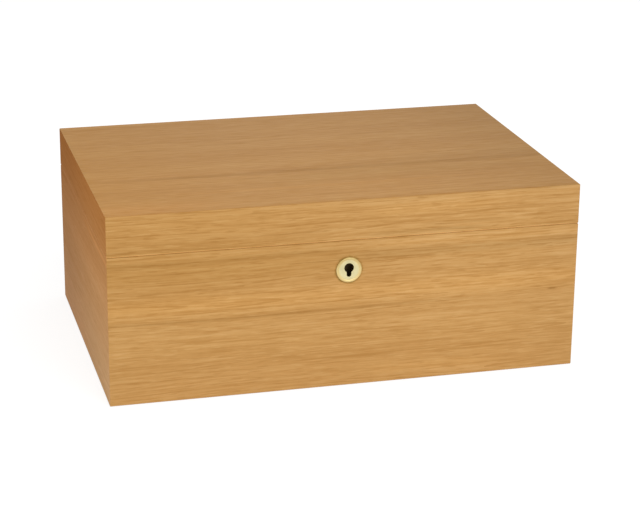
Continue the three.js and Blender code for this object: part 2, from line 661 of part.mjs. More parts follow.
// Bow spring under the bolt that bears on the ledge of the case.
function boltSpring() {
  const sag = SPRING_HEIGHT - 2 * SEAT_GAP - SPRING_THICKNESS;
  const radius = (SPRING_SPAN ** 2 / 4 + sag ** 2) / (2 * sag);
  const swing = Math.asin(SPRING_SPAN / 2 / radius);
  const middle = [BAR_RIGHT - SPRING_SPAN / 2, BAR_BOTTOM - SEAT_GAP + radius - sag];
  const shape = new THREE.Shape();
  shape.absarc(...middle, radius + SPRING_THICKNESS, -Math.PI / 2 - swing, -Math.PI / 2 + swing);
  shape.absarc(...middle, radius, -Math.PI / 2 + swing, -Math.PI / 2 - swing, true);
  return prism("y", shape, about(BOLT_Y, SPRING_WIDTH / 2), 12);
}

// Plate in the lid's rim with two links that drop through the selvedge for the bolt to pass through.
function linkPlate() {
  const plate = prism(
    "z",
    roundedRectangle(0, BOLT_Y, LINK_PLATE_LENGTH / 2, LINK_PLATE_WIDTH / 2, LINK_PLATE_CORNER),
    [LID_RIM, LID_RIM + LINK_PLATE],
    4,
  );
  const links = LINKS.map((x) => {
    const drop = [LINK_TIP, LID_RIM + LINK_PLATE / 2];
    const tab = block(about(x, LINK_THICKNESS / 2), about(BOLT_Y, LINK_WIDTH / 2), drop);
    const eye = block(
      about(x, LINK_THICKNESS),
      about(BOLT_Y, FINGER_THICKNESS / 2 + EYE_CLEARANCE),
      [FINGER_BOTTOM - EYE_HEADROOM, FINGER_TOP + EYE_HEADROOM],
    );
    return tab.subtract(eye);
  });
  const screwX = LINK_PLATE_LENGTH / 2 - LOCK_SCREW_INSET;
  const screws = [-screwX, screwX].map((x) => countersink([x, BOLT_Y], LID_RIM, 1, LINK_PLATE));
  return cut(union([plate, ...links]), screws);
}

function linkRecess() {
  return block(
    about(0, LINK_PLATE_LENGTH / 2 + MORTISE_CLEARANCE),
    about(BOLT_Y, LINK_PLATE_WIDTH / 2 + MORTISE_CLEARANCE),
    [LID_RIM - OVERCUT, LID_RIM + LINK_PLATE + MORTISE_CLEARANCE],
  );
}

// Upright lining board along x or y, with the outer edge of its lip eased.
function liningBoard(along, side, halfLength, outer) {
  const inner = outer - LINING;
  const shape = shapeOf([
    [side * inner, FLOOR + GLUE_LINE],
    [side * outer, FLOOR + GLUE_LINE],
    [side * outer, LIP_TOP - LIP_EASE],
    [side * (outer - LIP_EASE), LIP_TOP],
    [side * inner, LIP_TOP],
  ]);
  return prism(along, shape, about(0, halfLength));
}

// Runner glued to the front or back lining, eased underneath.
function runner(side) {
  const wall = LINED_DEPTH - GLUE_LINE;
  const edge = wall - RUNNER_WIDTH;
  const shape = shapeOf([
    [side * wall, RUNNER_TOP],
    [side * edge, RUNNER_TOP],
    [side * edge, RUNNER_BOTTOM + RUNNER_EASE],
    [side * (edge + RUNNER_EASE), RUNNER_BOTTOM],
    [side * wall, RUNNER_BOTTOM],
  ]);
  return prism("x", shape, about(0, LINED_WIDTH - GLUE_LINE));
}

// Room for the tray's floor in the foot of its boards.
function trayRebate() {
  const reach = TRAY_REBATE - TRAY_BOARD + GLUE_LINE;
  return block(
    [TRAY_LEFT - reach, TRAY_RIGHT + reach],
    about(0, TRAY_HALF_DEPTH + reach),
    [TRAY_BOTTOM - OVERCUT, TRAY_BOTTOM + TRAY_FLOOR + GLUE_LINE],
  );
}

// Long board at the front or back of the tray.
function traySide(side) {
  const near = side * (TRAY_HALF_DEPTH - TRAY_BOARD);
  const far = side * TRAY_HALF_DEPTH;
  const limits = [Math.min(near, far), Math.max(near, far)];
  return block([TRAY_LEFT, TRAY_RIGHT], limits, [TRAY_BOTTOM, TRAY_TOP]).subtract(trayRebate());
}

// Board at the left or right end of the tray, with a finger hole.
function trayEnd(side) {
  const outer = side < 0 ? TRAY_LEFT : TRAY_RIGHT;
  const inner = outer - side * TRAY_BOARD;
  const limits = [Math.min(inner, outer), Math.max(inner, outer)];
  const half = TRAY_HALF_DEPTH - TRAY_BOARD - GLUE_LINE;
  const board = block(limits, about(0, half), [TRAY_BOTTOM, TRAY_TOP]);
  const grip = roundedRectangle(0, TRAY_TOP - GRIP_DROP, GRIP_LENGTH / 2, GRIP_HEIGHT / 2, GRIP_HEIGHT / 2);
  const hole = prism("x", grip, [limits[0] - OVERCUT, limits[1] + OVERCUT], 8);
  return cut(board, [trayRebate(), hole]);
}

// Tray floor with a row of air slots.
function trayFloor() {
  const reach = TRAY_REBATE - TRAY_BOARD;
  const shape = shapeOf([
    [TRAY_LEFT - reach, -TRAY_HALF_DEPTH - reach],
    [TRAY_RIGHT + reach, -TRAY_HALF_DEPTH - reach],
    [TRAY_RIGHT + reach, TRAY_HALF_DEPTH + reach],
    [TRAY_LEFT - reach, TRAY_HALF_DEPTH + reach],
  ]);
  const clear = TRAY_WIDTH / 2 - TRAY_BOARD - VENT_WIDTH;
  const pairs = Math.floor((clear - VENT_PITCH / 2) / VENT_PITCH);
  const halfSlot = TRAY_HALF_DEPTH - TRAY_BOARD - VENT_MARGIN;
  for (let index = -pairs - 1; index <= pairs; index += 1) {
    const x = TRAY_MIDDLE + (index + 0.5) * VENT_PITCH;
    shape.holes.push(roundedRectangle(x, 0, VENT_WIDTH / 2, halfSlot, VENT_WIDTH / 2));
  }
  return prism("z", shape, [TRAY_BOTTOM, TRAY_BOTTOM + TRAY_FLOOR], 4);
}

// Upright divider across the box, with a hollow for the thumb in its top edge.
function divider(x, thickness, halfLength, bottom, top) {
  const board = block(about(x, thickness / 2), about(0, halfLength), [bottom, top]);
  const middle = [0, top - THUMB_DEPTH + THUMB_RADIUS];
  return board.subtract(bar("x", middle, THUMB_RADIUS, about(x, thickness), 48));
}

// Humidifier case, open downwards.
function humidifierCase() {
  const outline = humidifierOutline(0, HUMIDIFIER_CORNER);
  const inside = humidifierOutline(HUMIDIFIER_SHELL, HUMIDIFIER_CORNER - HUMIDIFIER_SHELL);
  const outer = prism("z", outline, [CASE_BACK - HUMIDIFIER_HEIGHT, CASE_BACK], 6);
  const limits = [CASE_BACK - HUMIDIFIER_HEIGHT - OVERCUT, CASE_BACK - HUMIDIFIER_SHELL];
  return outer.subtract(prism("z", inside, limits, 6));
}

// Outline of the humidifier, drawn in all round by an inset.
function humidifierOutline(inset, corner) {
  const halves = [HUMIDIFIER_LENGTH / 2 - inset, HUMIDIFIER_WIDTH / 2 - inset];
  return roundedRectangle(HUMIDIFIER_X, 0, ...halves, corner);
}

// Outline of what is let into the case with a gap all round.
function insertOutline() {
  const inset = HUMIDIFIER_SHELL + COVER_GAP;
  return humidifierOutline(inset, HUMIDIFIER_CORNER - inset);
}

// Cover let into the mouth of the case, with two rows of slots.
function humidifierCover() {
  const bottom = CASE_BACK - HUMIDIFIER_HEIGHT;
  const plate = prism("z", insertOutline(), [bottom, bottom + COVER], 6);
  const slots = [];
  const clear = HUMIDIFIER_LENGTH / 2 - HUMIDIFIER_SHELL - COVER_MARGIN;
  const count = Math.floor(clear / COVER_PITCH);
  const halfRow = (HUMIDIFIER_WIDTH / 2 - HUMIDIFIER_SHELL - COVER_MARGIN - COVER_SLOT / 2) / 2;
  for (let index = -count; index <= count; index += 1) {
    for (const row of [-1, 1]) {
      const y = row * (halfRow + COVER_SLOT / 2);
      const x = HUMIDIFIER_X + index * COVER_PITCH;
      const slot = roundedRectangle(x, y, COVER_SLOT / 2, halfRow, COVER_SLOT / 2);
      slots.push(prism("z", slot, [bottom - OVERCUT, bottom + COVER + OVERCUT], 2));
    }
  }
  return cut(plate, slots);
}

function humidifierFoam() {
  const bottom = CASE_BACK - HUMIDIFIER_HEIGHT + COVER + COVER_GAP;
  return prism("z", insertOutline(), [bottom, CASE_BACK - HUMIDIFIER_SHELL - COVER_GAP], 6);
}

// Hygrometer case: a cup open downwards with a boss that carries the dial and the needle's arbor.
function hygrometerCase() {
  const back = CASE_BACK - HYGROMETER_SHELL;
  const inside = HYGROMETER_RADIUS - HYGROMETER_SHELL;
  const boss = DIAL_BACK + GLUE_LINE;
  const bore = ARBOR_RADIUS + ARBOR_CLEARANCE;
  const cup = turned([
    [0, boss],
    [BOSS_RADIUS, boss],
    [BOSS_RADIUS, back],
    [inside, back],
    [inside, CASE_MOUTH],
    [HYGROMETER_RADIUS, CASE_MOUTH],
    [HYGROMETER_RADIUS, CASE_BACK],
    [0, CASE_BACK],
  ]);
  return cup.subtract(bar("z", [0, 0], bore, [boss - OVERCUT, back], 16)).translate(HYGROMETER_X, 0, 0);
}

function hygrometerDial() {
  const radius = HYGROMETER_RADIUS - HYGROMETER_SHELL - DIAL_GAP;
  const hole = ARBOR_RADIUS + ARBOR_CLEARANCE;
  const disc = turned([
    [hole, DIAL_FACE],
    [radius, DIAL_FACE],
    [radius, DIAL_BACK],
    [hole, DIAL_BACK],
    [hole, DIAL_FACE],
  ]);
  return disc.translate(HYGROMETER_X, 0, 0);
}

// Needle with its hub, a counterweight tail and the arbor that turns in the boss.
function hygrometerNeedle() {
  const hubTop = DIAL_FACE - HUB_LIFT;
  const hubBottom = hubTop - HUB_HEIGHT;
  const [half, tip, tail] = [NEEDLE_WIDTH / 2, NEEDLE_TIP_WIDTH / 2, NEEDLE_TAIL_WIDTH / 2];
  const arborTop = CASE_BACK - HYGROMETER_SHELL - HUB_LIFT;
  const outline = shapeOf([
    [-half, 0],
    [-tail, NEEDLE_TAIL],
    [tail, NEEDLE_TAIL],
    [half, 0],
    [tip, -NEEDLE_LENGTH],
    [-tip, -NEEDLE_LENGTH],
  ]);
  const blade = prism("z", outline, about((hubTop + hubBottom) / 2, NEEDLE_THICKNESS / 2));
  const hub = bar("z", [0, 0], HUB_RADIUS, [hubBottom, hubTop], 24);
  const arbor = bar("z", [0, 0], ARBOR_RADIUS, [hubTop - HUB_HEIGHT / 2, arborTop], 12);
  return union([blade, hub, arbor]).translate(HYGROMETER_X, 0, 0);
}

function hygrometerGlass() {
  const radius = HYGROMETER_RADIUS - HYGROMETER_SHELL - DIAL_GAP;
  return bar("z", [HYGROMETER_X, 0], radius, [CASE_MOUTH, CASE_MOUTH + GLASS], 40);
}

// Bezel: a ring round the mouth of the case whose rounded lip holds the glass.
function hygrometerBezel() {
  const mouth = CASE_MOUTH - GLUE_LINE;
  const inside = HYGROMETER_RADIUS + GLUE_LINE;
  const lip = HYGROMETER_RADIUS - BEZEL_LIP;
  const face = mouth - BEZEL_FACE;
  const crown = (lip + BEZEL_RADIUS) / 2;
  const ring = turned([
    [lip, mouth],
    [lip, face + BEZEL_EASE],
    [crown, face],
    [BEZEL_RADIUS - BEZEL_EASE, face + BEZEL_EASE / 2],
    [BEZEL_RADIUS, mouth],
    [BEZEL_RADIUS, mouth + BEZEL_DEPTH],
    [inside, mouth + BEZEL_DEPTH],
    [inside, mouth],
    [lip, mouth],
  ]);
  return ring.translate(HYGROMETER_X, 0, 0);
}

// Finishes
function finish(color, roughness, metalness = 0) {
  return new THREE.MeshStandardMaterial({ color, roughness, metalness });
}

const FINISHES = {
  oak: () => finish(0xc8975a, 0.45),
  cedar: () => finish(0xb9825a, 0.7),
  brass: () => finish(0xd8b76a, 0.3, 1),
  steel: () => finish(0x8d9094, 0.35, 1),
  felt: () => finish(0x23302a, 0.95),
  plastic: () => finish(0x1d1d1f, 0.5),
  foam: () => finish(0x3e6a4a, 0.95),
  card: () => finish(0xf1efe6, 0.6),
  glass: () => finish(0xf4f8f8, 0.05),
};

// A group whose origin is a place in the part, so that turning or moving it works the joint there.
function pivot(parent, name, x, y, z) {
  const group = new THREE.Group();
  const base = parent.userData.origin;
  group.name = name;
  group.userData.origin = new THREE.Vector3(x, y, z);
  group.position.copy(group.userData.origin).sub(base);
  parent.add(group);
  return group;
}

// Adds a piece that is drawn in the part's frame to a group.
function add(group, name, solid, finishName) {
  const { x, y, z } = group.userData.origin;
  const mesh = new THREE.Mesh(geometryOf(solid).translate(-x, -y, -z), FINISHES[finishName]());
  mesh.name = name;
  group.add(mesh);
}

const humidor = new THREE.Group();
humidor.name = "humidor";
humidor.userData.origin = new THREE.Vector3();
const body = pivot(humidor, "body", 0, 0, 0);
const lid = pivot(humidor, "lid", 0, AXIS_Y, PARTING);
const stays = pivot(humidor, "stays", 0, AXIS_Y, PARTING);
const bolt = pivot(humidor, "bolt", 0, BOLT_Y, BAR_BOTTOM);
const tray = pivot(humidor, "tray", TRAY_LEFT, 0, TRAY_BOTTOM);
const trayPartition = pivot(tray, "tray_partition", TRAY_MIDDLE, 0, TRAY_BOTTOM + TRAY_FLOOR);
const lowerPartition = pivot(humidor, "lower_partition", LOWER_DIVIDER_X, 0, FLOOR);
const needle = pivot(lid, "needle", HYGROMETER_X, 0, DIAL_FACE);

const SIDES = [["left", -1], ["right", 1]];
const ENDS = [["front", -1], ["back", 1]];
const mortises = SIDES.flatMap(([, side]) => [hingeMortise(side), stayPocket(side)]);

// Carcass of the body
const bodyBlock = outsideBlock(FELT_PROUD, BODY_RIM, true);
const baseReach = BASE_REBATE - WALL;
const baseRebate = block(
  about(0, HALF_WIDTH + baseReach + GLUE_LINE),
  about(0, HALF_DEPTH + baseReach + GLUE_LINE),
  [-OVERCUT, BASE_TOP + GLUE_LINE],
);
for (const [name, side] of ENDS) {
  const lock = side < 0 ? [lockMortise()] : [];
  const wall = mitredWall(bodyBlock, "x", side, WALL);
  add(body, `${name}_wall`, cut(wall, [baseRebate, ...mortises, ...lock]), "oak");
}
for (const [name, side] of SIDES) {
  add(body, `${name}_wall`, cut(mitredWall(bodyBlock, "y", side, WALL), [baseRebate, ...mortises]), "oak");
}
const basePlan = [about(0, HALF_WIDTH + baseReach), about(0, HALF_DEPTH + baseReach)];
add(body, "base_panel", block(...basePlan, [BASE_BOTTOM, BASE_TOP]), "oak");
const feltPlan = basePlan.map(([from, to]) => [from + FELT_MARGIN, to - FELT_MARGIN]);
add(body, "felt_base", block(...feltPlan, [0, FELT]), "felt");

// Cedar lining of the body and the runners of the tray
const roomWidth = LINED_WIDTH + LINING;
const roomDepth = LINED_DEPTH + LINING;
add(body, "lining_floor", block(about(0, roomWidth), about(0, roomDepth), [FLOOR - LINING, FLOOR]), "cedar");
for (const [name, side] of ENDS) {
  add(body, `lining_${name}`, liningBoard("x", side, roomWidth, roomDepth), "cedar");
  add(body, `${name}_runner`, runner(side), "cedar");
}
for (const [name, side] of SIDES) {
  add(body, `lining_${name}`, liningBoard("y", side, LINED_DEPTH - GLUE_LINE, roomWidth), "cedar");
}

// Lid and its lining
const lidBlock = outsideBlock(LID_RIM, TOP, false);
const lidTopCut = mitredTop(GLUE_LINE * Math.SQRT2);
add(lid, "lid_top", mitredTop(0).intersect(lidBlock), "oak");
for (const [name, side] of ENDS) {
  const link = side < 0 ? [linkRecess()] : [];
  const wall = mitredWall(lidBlock, "x", side, LID_WALL);
  add(lid, `lid_${name}`, cut(wall, [lidTopCut, ...mortises, ...link]), "oak");
}
for (const [name, side] of SIDES) {
  add(lid, `lid_${name}`, cut(mitredWall(lidBlock, "y", side, LID_WALL), [lidTopCut, ...mortises]), "oak");
}
const lidWidth = HALF_WIDTH - LID_WALL - GLUE_LINE;
const lidDepth = HALF_DEPTH - LID_WALL - GLUE_LINE;
const stripLimits = [LIP_TOP + LIP_CLEARANCE, CEILING - GLUE_LINE];
const lidPanel = block(about(0, lidWidth), about(0, lidDepth), [CEILING, CEILING + LINING]);
add(lid, "lid_lining_top", lidPanel, "cedar");
for (const [name, side] of ENDS) {
  const strip = block(about(0, lidWidth), about(side * (lidDepth - LINING / 2), LINING / 2), stripLimits);
  add(lid, `lid_lining_${name}`, strip, "cedar");
}
for (const [name, side] of SIDES) {
  const run = about(0, lidDepth - LINING - GLUE_LINE);
  const strip = block(about(side * (lidWidth - LINING / 2), LINING / 2), run, stripLimits);
  add(lid, `lid_lining_${name}`, strip, "cedar");
}

// Hinges
for (const [name, side] of SIDES) {
  add(body, `hinge_leaf_body_${name}`, hingeLeaf(side, -1, [0, 2]), "brass");
  add(body, `hinge_pin_${name}`, hingePin(side), "brass");
  add(lid, `hinge_leaf_lid_${name}`, hingeLeaf(side, 1, [1]), "brass");
  add(stays, `hinge_stay_${name}`, stay(side), "brass");
}

// Lock
add(body, "escutcheon", escutcheon(), "brass");
add(body, "lock_case", lockCase(), "brass");
add(body, "lock_cap", lockCap(), "steel");
add(bolt, "lock_bolt", lockBolt(), "steel");
add(bolt, "bolt_spring", boltSpring(), "steel");
add(lid, "link_plate", linkPlate(), "brass");

// Tray and dividers
for (const [name, side] of ENDS) {
  add(tray, `tray_${name}`, traySide(side), "cedar");
}
for (const [name, side] of SIDES) {
  add(tray, `tray_${name}`, trayEnd(side), "cedar");
}
add(tray, "tray_floor", trayFloor(), "cedar");
const trayInside = TRAY_HALF_DEPTH - TRAY_BOARD - DIVIDER_CLEARANCE;
const trayBed = TRAY_BOTTOM + TRAY_FLOOR + SEAT_GAP;
const trayDivider = divider(TRAY_MIDDLE, DIVIDER, trayInside, trayBed, TRAY_TOP - DIVIDER_DROP);
add(trayPartition, "tray_divider", trayDivider, "cedar");
const lowerHalf = LINED_DEPTH - DIVIDER_CLEARANCE;
const lowerTop = RUNNER_BOTTOM - DIVIDER_CLEARANCE;
const lowerDivider = divider(LOWER_DIVIDER_X, LOWER_DIVIDER, lowerHalf, FLOOR + SEAT_GAP, lowerTop);
add(lowerPartition, "lower_divider", lowerDivider, "cedar");

// Humidifier and hygrometer
const plateLimits = [HUNG, HUNG + PLATE];
const plateOutline = humidifierOutline(PLATE_INSET, PLATE_CORNER);
add(lid, "humidifier_plate", prism("z", plateOutline, plateLimits, 6), "steel");
add(lid, "humidifier_case", humidifierCase(), "plastic");
add(lid, "humidifier_foam", humidifierFoam(), "foam");
add(lid, "humidifier_cover", humidifierCover(), "plastic");
add(lid, "hygrometer_magnet", bar("z", [HYGROMETER_X, 0], MAGNET_RADIUS, plateLimits, 32), "steel");
add(lid, "hygrometer_case", hygrometerCase(), "brass");
add(lid, "hygrometer_dial", hygrometerDial(), "card");
add(needle, "hygrometer_needle", hygrometerNeedle(), "plastic");
add(lid, "hygrometer_glass", hygrometerGlass(), "glass");
add(lid, "hygrometer_bezel", hygrometerBezel(), "brass");

export default humidor;
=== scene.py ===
"""Looks of a desktop cigar humidor: finishes, soft pieces, screws, dial marks, light and camera."""

import math
from collections import namedtuple

import bmesh
import bpy
from mathutils import Color, Matrix, Vector, noise


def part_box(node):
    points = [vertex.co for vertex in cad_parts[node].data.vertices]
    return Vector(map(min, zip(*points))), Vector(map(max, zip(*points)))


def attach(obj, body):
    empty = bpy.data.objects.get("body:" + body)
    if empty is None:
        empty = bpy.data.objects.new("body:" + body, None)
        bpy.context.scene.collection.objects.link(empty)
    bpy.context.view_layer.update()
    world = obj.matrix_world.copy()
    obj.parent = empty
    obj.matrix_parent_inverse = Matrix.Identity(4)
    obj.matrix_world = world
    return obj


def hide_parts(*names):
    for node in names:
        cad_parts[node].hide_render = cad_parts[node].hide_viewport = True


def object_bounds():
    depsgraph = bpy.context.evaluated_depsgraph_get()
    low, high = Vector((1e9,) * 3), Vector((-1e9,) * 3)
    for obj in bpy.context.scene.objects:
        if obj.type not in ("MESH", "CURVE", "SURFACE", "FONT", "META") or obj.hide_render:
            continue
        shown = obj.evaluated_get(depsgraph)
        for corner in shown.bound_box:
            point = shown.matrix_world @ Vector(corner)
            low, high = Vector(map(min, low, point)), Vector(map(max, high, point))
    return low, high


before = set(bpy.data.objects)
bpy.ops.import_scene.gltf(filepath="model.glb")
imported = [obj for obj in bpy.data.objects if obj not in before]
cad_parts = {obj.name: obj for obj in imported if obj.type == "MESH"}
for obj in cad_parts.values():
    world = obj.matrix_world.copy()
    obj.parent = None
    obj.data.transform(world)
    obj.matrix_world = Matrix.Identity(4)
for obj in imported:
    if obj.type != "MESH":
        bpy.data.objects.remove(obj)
cad_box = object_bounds()

QUARTER = math.pi / 2
WHITE = (1, 1, 1)

# Sizes in metres, angles in degrees
MM = 0.001
MERGE = 0.001 * MM  # points closer than this become one
SHARP_ANGLE = 35  # least angle between faces that meet in a sharp edge
FLAT_ANGLE = 1  # greatest angle between faces that become one
BOARD_EASE = 0.3 * MM  # breadth of the rounded edges of the cedar boards
EASE_STEPS = 2

# The rims of body and lid: their heights, and 1 where they face up or -1 where they face down
RIM_HEIGHT = {"body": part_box("front_wall")[1].z, "lid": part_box("lid_front")[0].z}
RIM_FACING = {"body": 1, "lid": -1}
RIM_FLATNESS = 0.97  # least upward or downward part of the direction that a rim faces

# The seam between the rims, and the distances from it at which the painted light and shade on its round
# edges start and are full
SEAM_HEIGHT = (RIM_HEIGHT["body"] + RIM_HEIGHT["lid"]) / 2
SEAM_LIGHT_REACH = (1.1 * MM, 0.44 * MM)

# The keyhole plate
PLATE_LOW, PLATE_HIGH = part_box("escutcheon")
PLATE_MIDDLE = (PLATE_LOW + PLATE_HIGH) / 2
PLATE_RADIUS = (PLATE_HIGH.x - PLATE_LOW.x) / 2
PLATE_RIM = (6.3 * MM, 8.5 * MM)  # radii between which its pale face turns to its yellow rim
PLATE_RIM_SHADE = (7.8 * MM, 9.3 * MM)  # radii over which painted shade, standing in for a dim reflection, grows on the upper part of the rim
RIM_SHADE_RISE = (-1 * MM, 6 * MM)  # heights over which it grows, from the middle of the plate
KEYHOLE_REACH = 6.3 * MM  # radius that the keyhole stays within
BORE_FACING = 0.5  # greatest forward part of the direction that the walls of the keyhole face
BORE_ROUGHNESS = 0.8
RIM_ROUGHNESS = 0.16  # more than on the face
PLATE_SHADE = 2 * MM  # breadth of the painted shade in the corner round the plate

# Soft pieces: the step between their points, the radius of their upright edges and the depth of their dents
Soft = namedtuple("Soft", "step corner dent")
FELT = Soft(step=4 * MM, corner=1.5 * MM, dent=0.1 * MM)
FOAM = Soft(step=3 * MM, corner=6.1 * MM, dent=0.4 * MM)
DENT_STEPS = 2  # steps from one dent to the next

# Screws
SCREW_HEAD = 1.95 * MM  # radius
SCREW_SHANK = 1.05 * MM  # radius
SCREW_CONE = 1.3 * MM  # height of the countersunk head
SCREW_LENGTH = 1.7 * MM
SCREW_SIDES = 24
SCREW_SINK = 0.1 * MM  # top of a screw below the face of its plate
SLOT_HALF = 0.32 * MM  # half the breadth of the slot
SLOT_DEPTH = 0.6 * MM
SLOT_WALL = 0.1 * MM  # metal between the end of the slot's floor and the cone
SLOT_TURNS = (25, 67)  # turn of the first slot on a plate, and from each slot to the next
TOP_FLATNESS = 0.9  # least upward part of the direction that a screw's top faces
LEAF_HALF_WIDTH = 3.5 * MM
LEAF_TIP = 5.5 * MM  # first screw behind the front end of a hinge leaf
BARREL_TO_ARM = 10.6 * MM  # back of the barrel to the middle of a leaf's back arm
ARM_SCREWS = (7.5 * MM, 22.5 * MM)  # screws from the inner end of the back arm
SELVEDGE_SCREW = 3.9 * MM  # screw from the end of the lock's selvedge
LINK_SCREW = 5 * MM  # screw from the end of the link plate

# Marks printed on the dial, whose scale goes from 0 to 100
SCALE_END = 100
SCALE_MIDDLE = 50  # value at the top of the dial
DIAL_SWING = 130  # angle from the top to each end of the scale
FINE_STEP = 2
MAIN_STEP = 10
NUMBER_STEP = 20
FINE_HALF = 0.18  # half the breadth of a mark, in values of the scale
MAIN_HALF = 0.35
FINE_INNER = 17 * MM  # radii of the marks, and of the ring that they end at
MAIN_INNER = 15.6 * MM
RING_INNER = 18.4 * MM
RING_OUTER = 18.8 * MM
RING_STEPS = 60
COMFORT_VALUES = (65, 75)
COMFORT_RADII = (13.6 * MM, 14.8 * MM)
COMFORT_STEPS = 12
NUMBER_RADIUS = 11.2 * MM
NUMBER_SIZE = 4.2 * MM
NUMBER_CURVE_STEPS = 5
MARK_LIFT = 0.03 * MM  # printed marks off the dial
MARK_THICKNESS = 0.02 * MM

# Floor, world and lamps
FLOOR_DROP = 0.05 * MM
FLOOR_SIZE = 40
FLOOR_COLOUR = (0.8, 0.8, 0.8)  # for the light that the floor throws back
FLOOR_SHADED = (0.33, 0.33, 0.33)  # the part of its white that a shadow takes away
FLOOR_GLOW = 0.8  # the part that stays
WORLD_LIGHT = 0.6
Lamp = namedtuple("Lamp", "name azimuth elevation distance size power")
LAMPS = [
    Lamp("key", azimuth=15, elevation=38, distance=2.2, size=1.5, power=21),
    Lamp("fill", azimuth=-82, elevation=12, distance=2.2, size=1.5, power=6),
]

# Camera, from a fit to the edges of the box
AZIMUTH = -14.875
ELEVATION = 19.239
ROLL = 0.578
DISTANCE = 1535.7 * MM
SHIFT_RIGHT = 9.25 * MM  # camera beside the line to the middle of the box
SHIFT_UP = -9.69 * MM
LENS = 111.36
SENSOR = 36


def tone(*levels):
    """A colour given as it looks on a screen, in levels from 0 to 255, as linear red, green and blue."""
    return tuple(Color([level / 255 for level in levels]).from_srgb_to_scene_linear())


class Tree:
    """The nodes of a material or of the world. Most methods add nodes and return the output of the last."""

    def __init__(self, owner):
        owner.use_nodes = True
        self.owner = owner
        self.nodes = owner.node_tree.nodes
        self.links = owner.node_tree.links
        self.nodes.clear()

    def add(self, kind, inputs, output=0, **settings):
        made = self.nodes.new(kind)
        for name, value in settings.items():
            setattr(made, name, value)
        for key, value in inputs.items():
            socket = made.inputs[key]
            if isinstance(value, bpy.types.NodeSocket):
                self.links.new(value, socket)
            elif socket.type == "RGBA":
                socket.default_value = (*value, 1)
            else:
                socket.default_value = value
        return made.outputs[output] if made.outputs else None

    def place(self):
        """Where a point of the surface lies in the model at rest."""
        return self.add("ShaderNodeTexCoord", {}, "Object")

    def facing(self, axis):
        """How far the surface faces along an axis or against it, from 0 to 1."""
        normal = self.add("ShaderNodeTexCoord", {}, "Normal")
        return self.calc("ABSOLUTE", self.axis(normal, axis))

    def axis(self, vector, name):
        return self.add("ShaderNodeSeparateXYZ", {"Vector": vector}, name)

    def mapped(self, vector, scale=(1, 1, 1), turn=0.0):
        inputs = {"Vector": vector, "Scale": scale, "Rotation": (0, 0, turn)}
        return self.add("ShaderNodeMapping", inputs, "Vector")

    def noise(self, vector, along, across=None, detail=2, roughness=0.5, output="Fac"):
        """Noise of one scale along X and another across it, or of one scale all round."""
        across = across or along
        inputs = {
            "Vector": self.mapped(vector, (along, across, across)),
            "Scale": 1.0,
            "Detail": detail,
            "Roughness": roughness,
        }
        return self.add("ShaderNodeTexNoise", inputs, output)

    def calc(self, operation, *values):
        return self.add("ShaderNodeMath", dict(enumerate(values)), operation=operation)

    def vector(self, operation, *values, output="Vector"):
        return self.add("ShaderNodeVectorMath", dict(enumerate(values)), output, operation=operation)

    def product(self, first, *others):
        for value in others:
            first = self.calc("MULTIPLY", first, value)
        return first

    def total(self, *parts):
        """The sum of values, each times its weight."""
        result = 0.0
        for value, weight in parts:
            result = self.calc("MULTIPLY_ADD", value, weight, result)
        return result

    def span(self, value, start, end, to=(0.0, 1.0)):
        """The value's place between start and end, eased and clamped, carried to another span."""
        inputs = {"Value": value, "From Min": start, "From Max": end, "To Min": to[0], "To Max": to[1]}
        return self.add("ShaderNodeMapRange", inputs, interpolation_type="SMOOTHSTEP")

    def ramp(self, factor, stops):
        """A colour between those of the stops, which are colours by their positions."""
        made = self.nodes.new("ShaderNodeValToRGB")
        points = made.color_ramp.elements
        while len(points) < len(stops):
            points.new(0.5)
        for point, (position, colour) in zip(points, stops.items()):
            point.position = position
            point.color = (*colour, 1)
        self.links.new(factor, made.inputs["Fac"])
        return made.outputs["Color"]

    def mix(self, factor, a, b, blend="MIX"):
        inputs = {0: factor, 6: a, 7: b}  # the node has unused inputs for numbers and vectors in between
        return self.add("ShaderNodeMix", inputs, 2, data_type="RGBA", blend_type=blend)

    def times(self, colour, amount, shares):
        """The colour times shares of red, green and blue, as far as the amount goes."""
        return self.mix(amount, colour, shares, "MULTIPLY")

    def bump(self, height, distance, strength):
        return self.add("ShaderNodeBump", {"Height": height, "Distance": distance, "Strength": strength})

    def principled(self, **sockets):
        """A shader with its sockets set by name, with _ for each space."""
        inputs = {name.replace("_", " "): value for name, value in sockets.items()}
        return self.add("ShaderNodeBsdfPrincipled", inputs)

    def material(self, shader):
        """The finished material."""
        self.add("ShaderNodeOutputMaterial", {"Surface": shader})
        return self.owner

    def surface(self, **sockets):
        """The finished material with one plain shader."""
        return self.material(self.principled(**sockets))


def material_tree(name):
    return Tree(bpy.data.materials.new(name))


# A mark on oak veneer, in millimetres: its middle across the grain, half its breadth, the shares of red,
# green and blue that it leaves, where it starts and ends along the grain, and the length it fades over
EVERYWHERE = 9000
Mark = namedtuple("Mark", "middle half shares start end fade", defaults=(-EVERYWHERE, EVERYWHERE, 1000))

# Shares of red, green and blue that the painted light and shade leave on the lid's edge and on the body's
# edge of the seam
SeamLight = namedtuple("SeamLight", "lid body")

GRAIN_DRIFT = 12 * MM  # greatest wandering of the grain
RING_COUNT = 26  # growth rings over the whole reach of their noise
RING_STRENGTH = 0.75
PORE_STRENGTH = 0.5
FLECK_STRENGTH = 0.45
CALM_STRENGTH = 0.18
PLATE_SHADE_SHARES = (0.55, 0.58, 0.33)
RIM_SHADE_SHARES = (0.74, 0.71, 0.6)

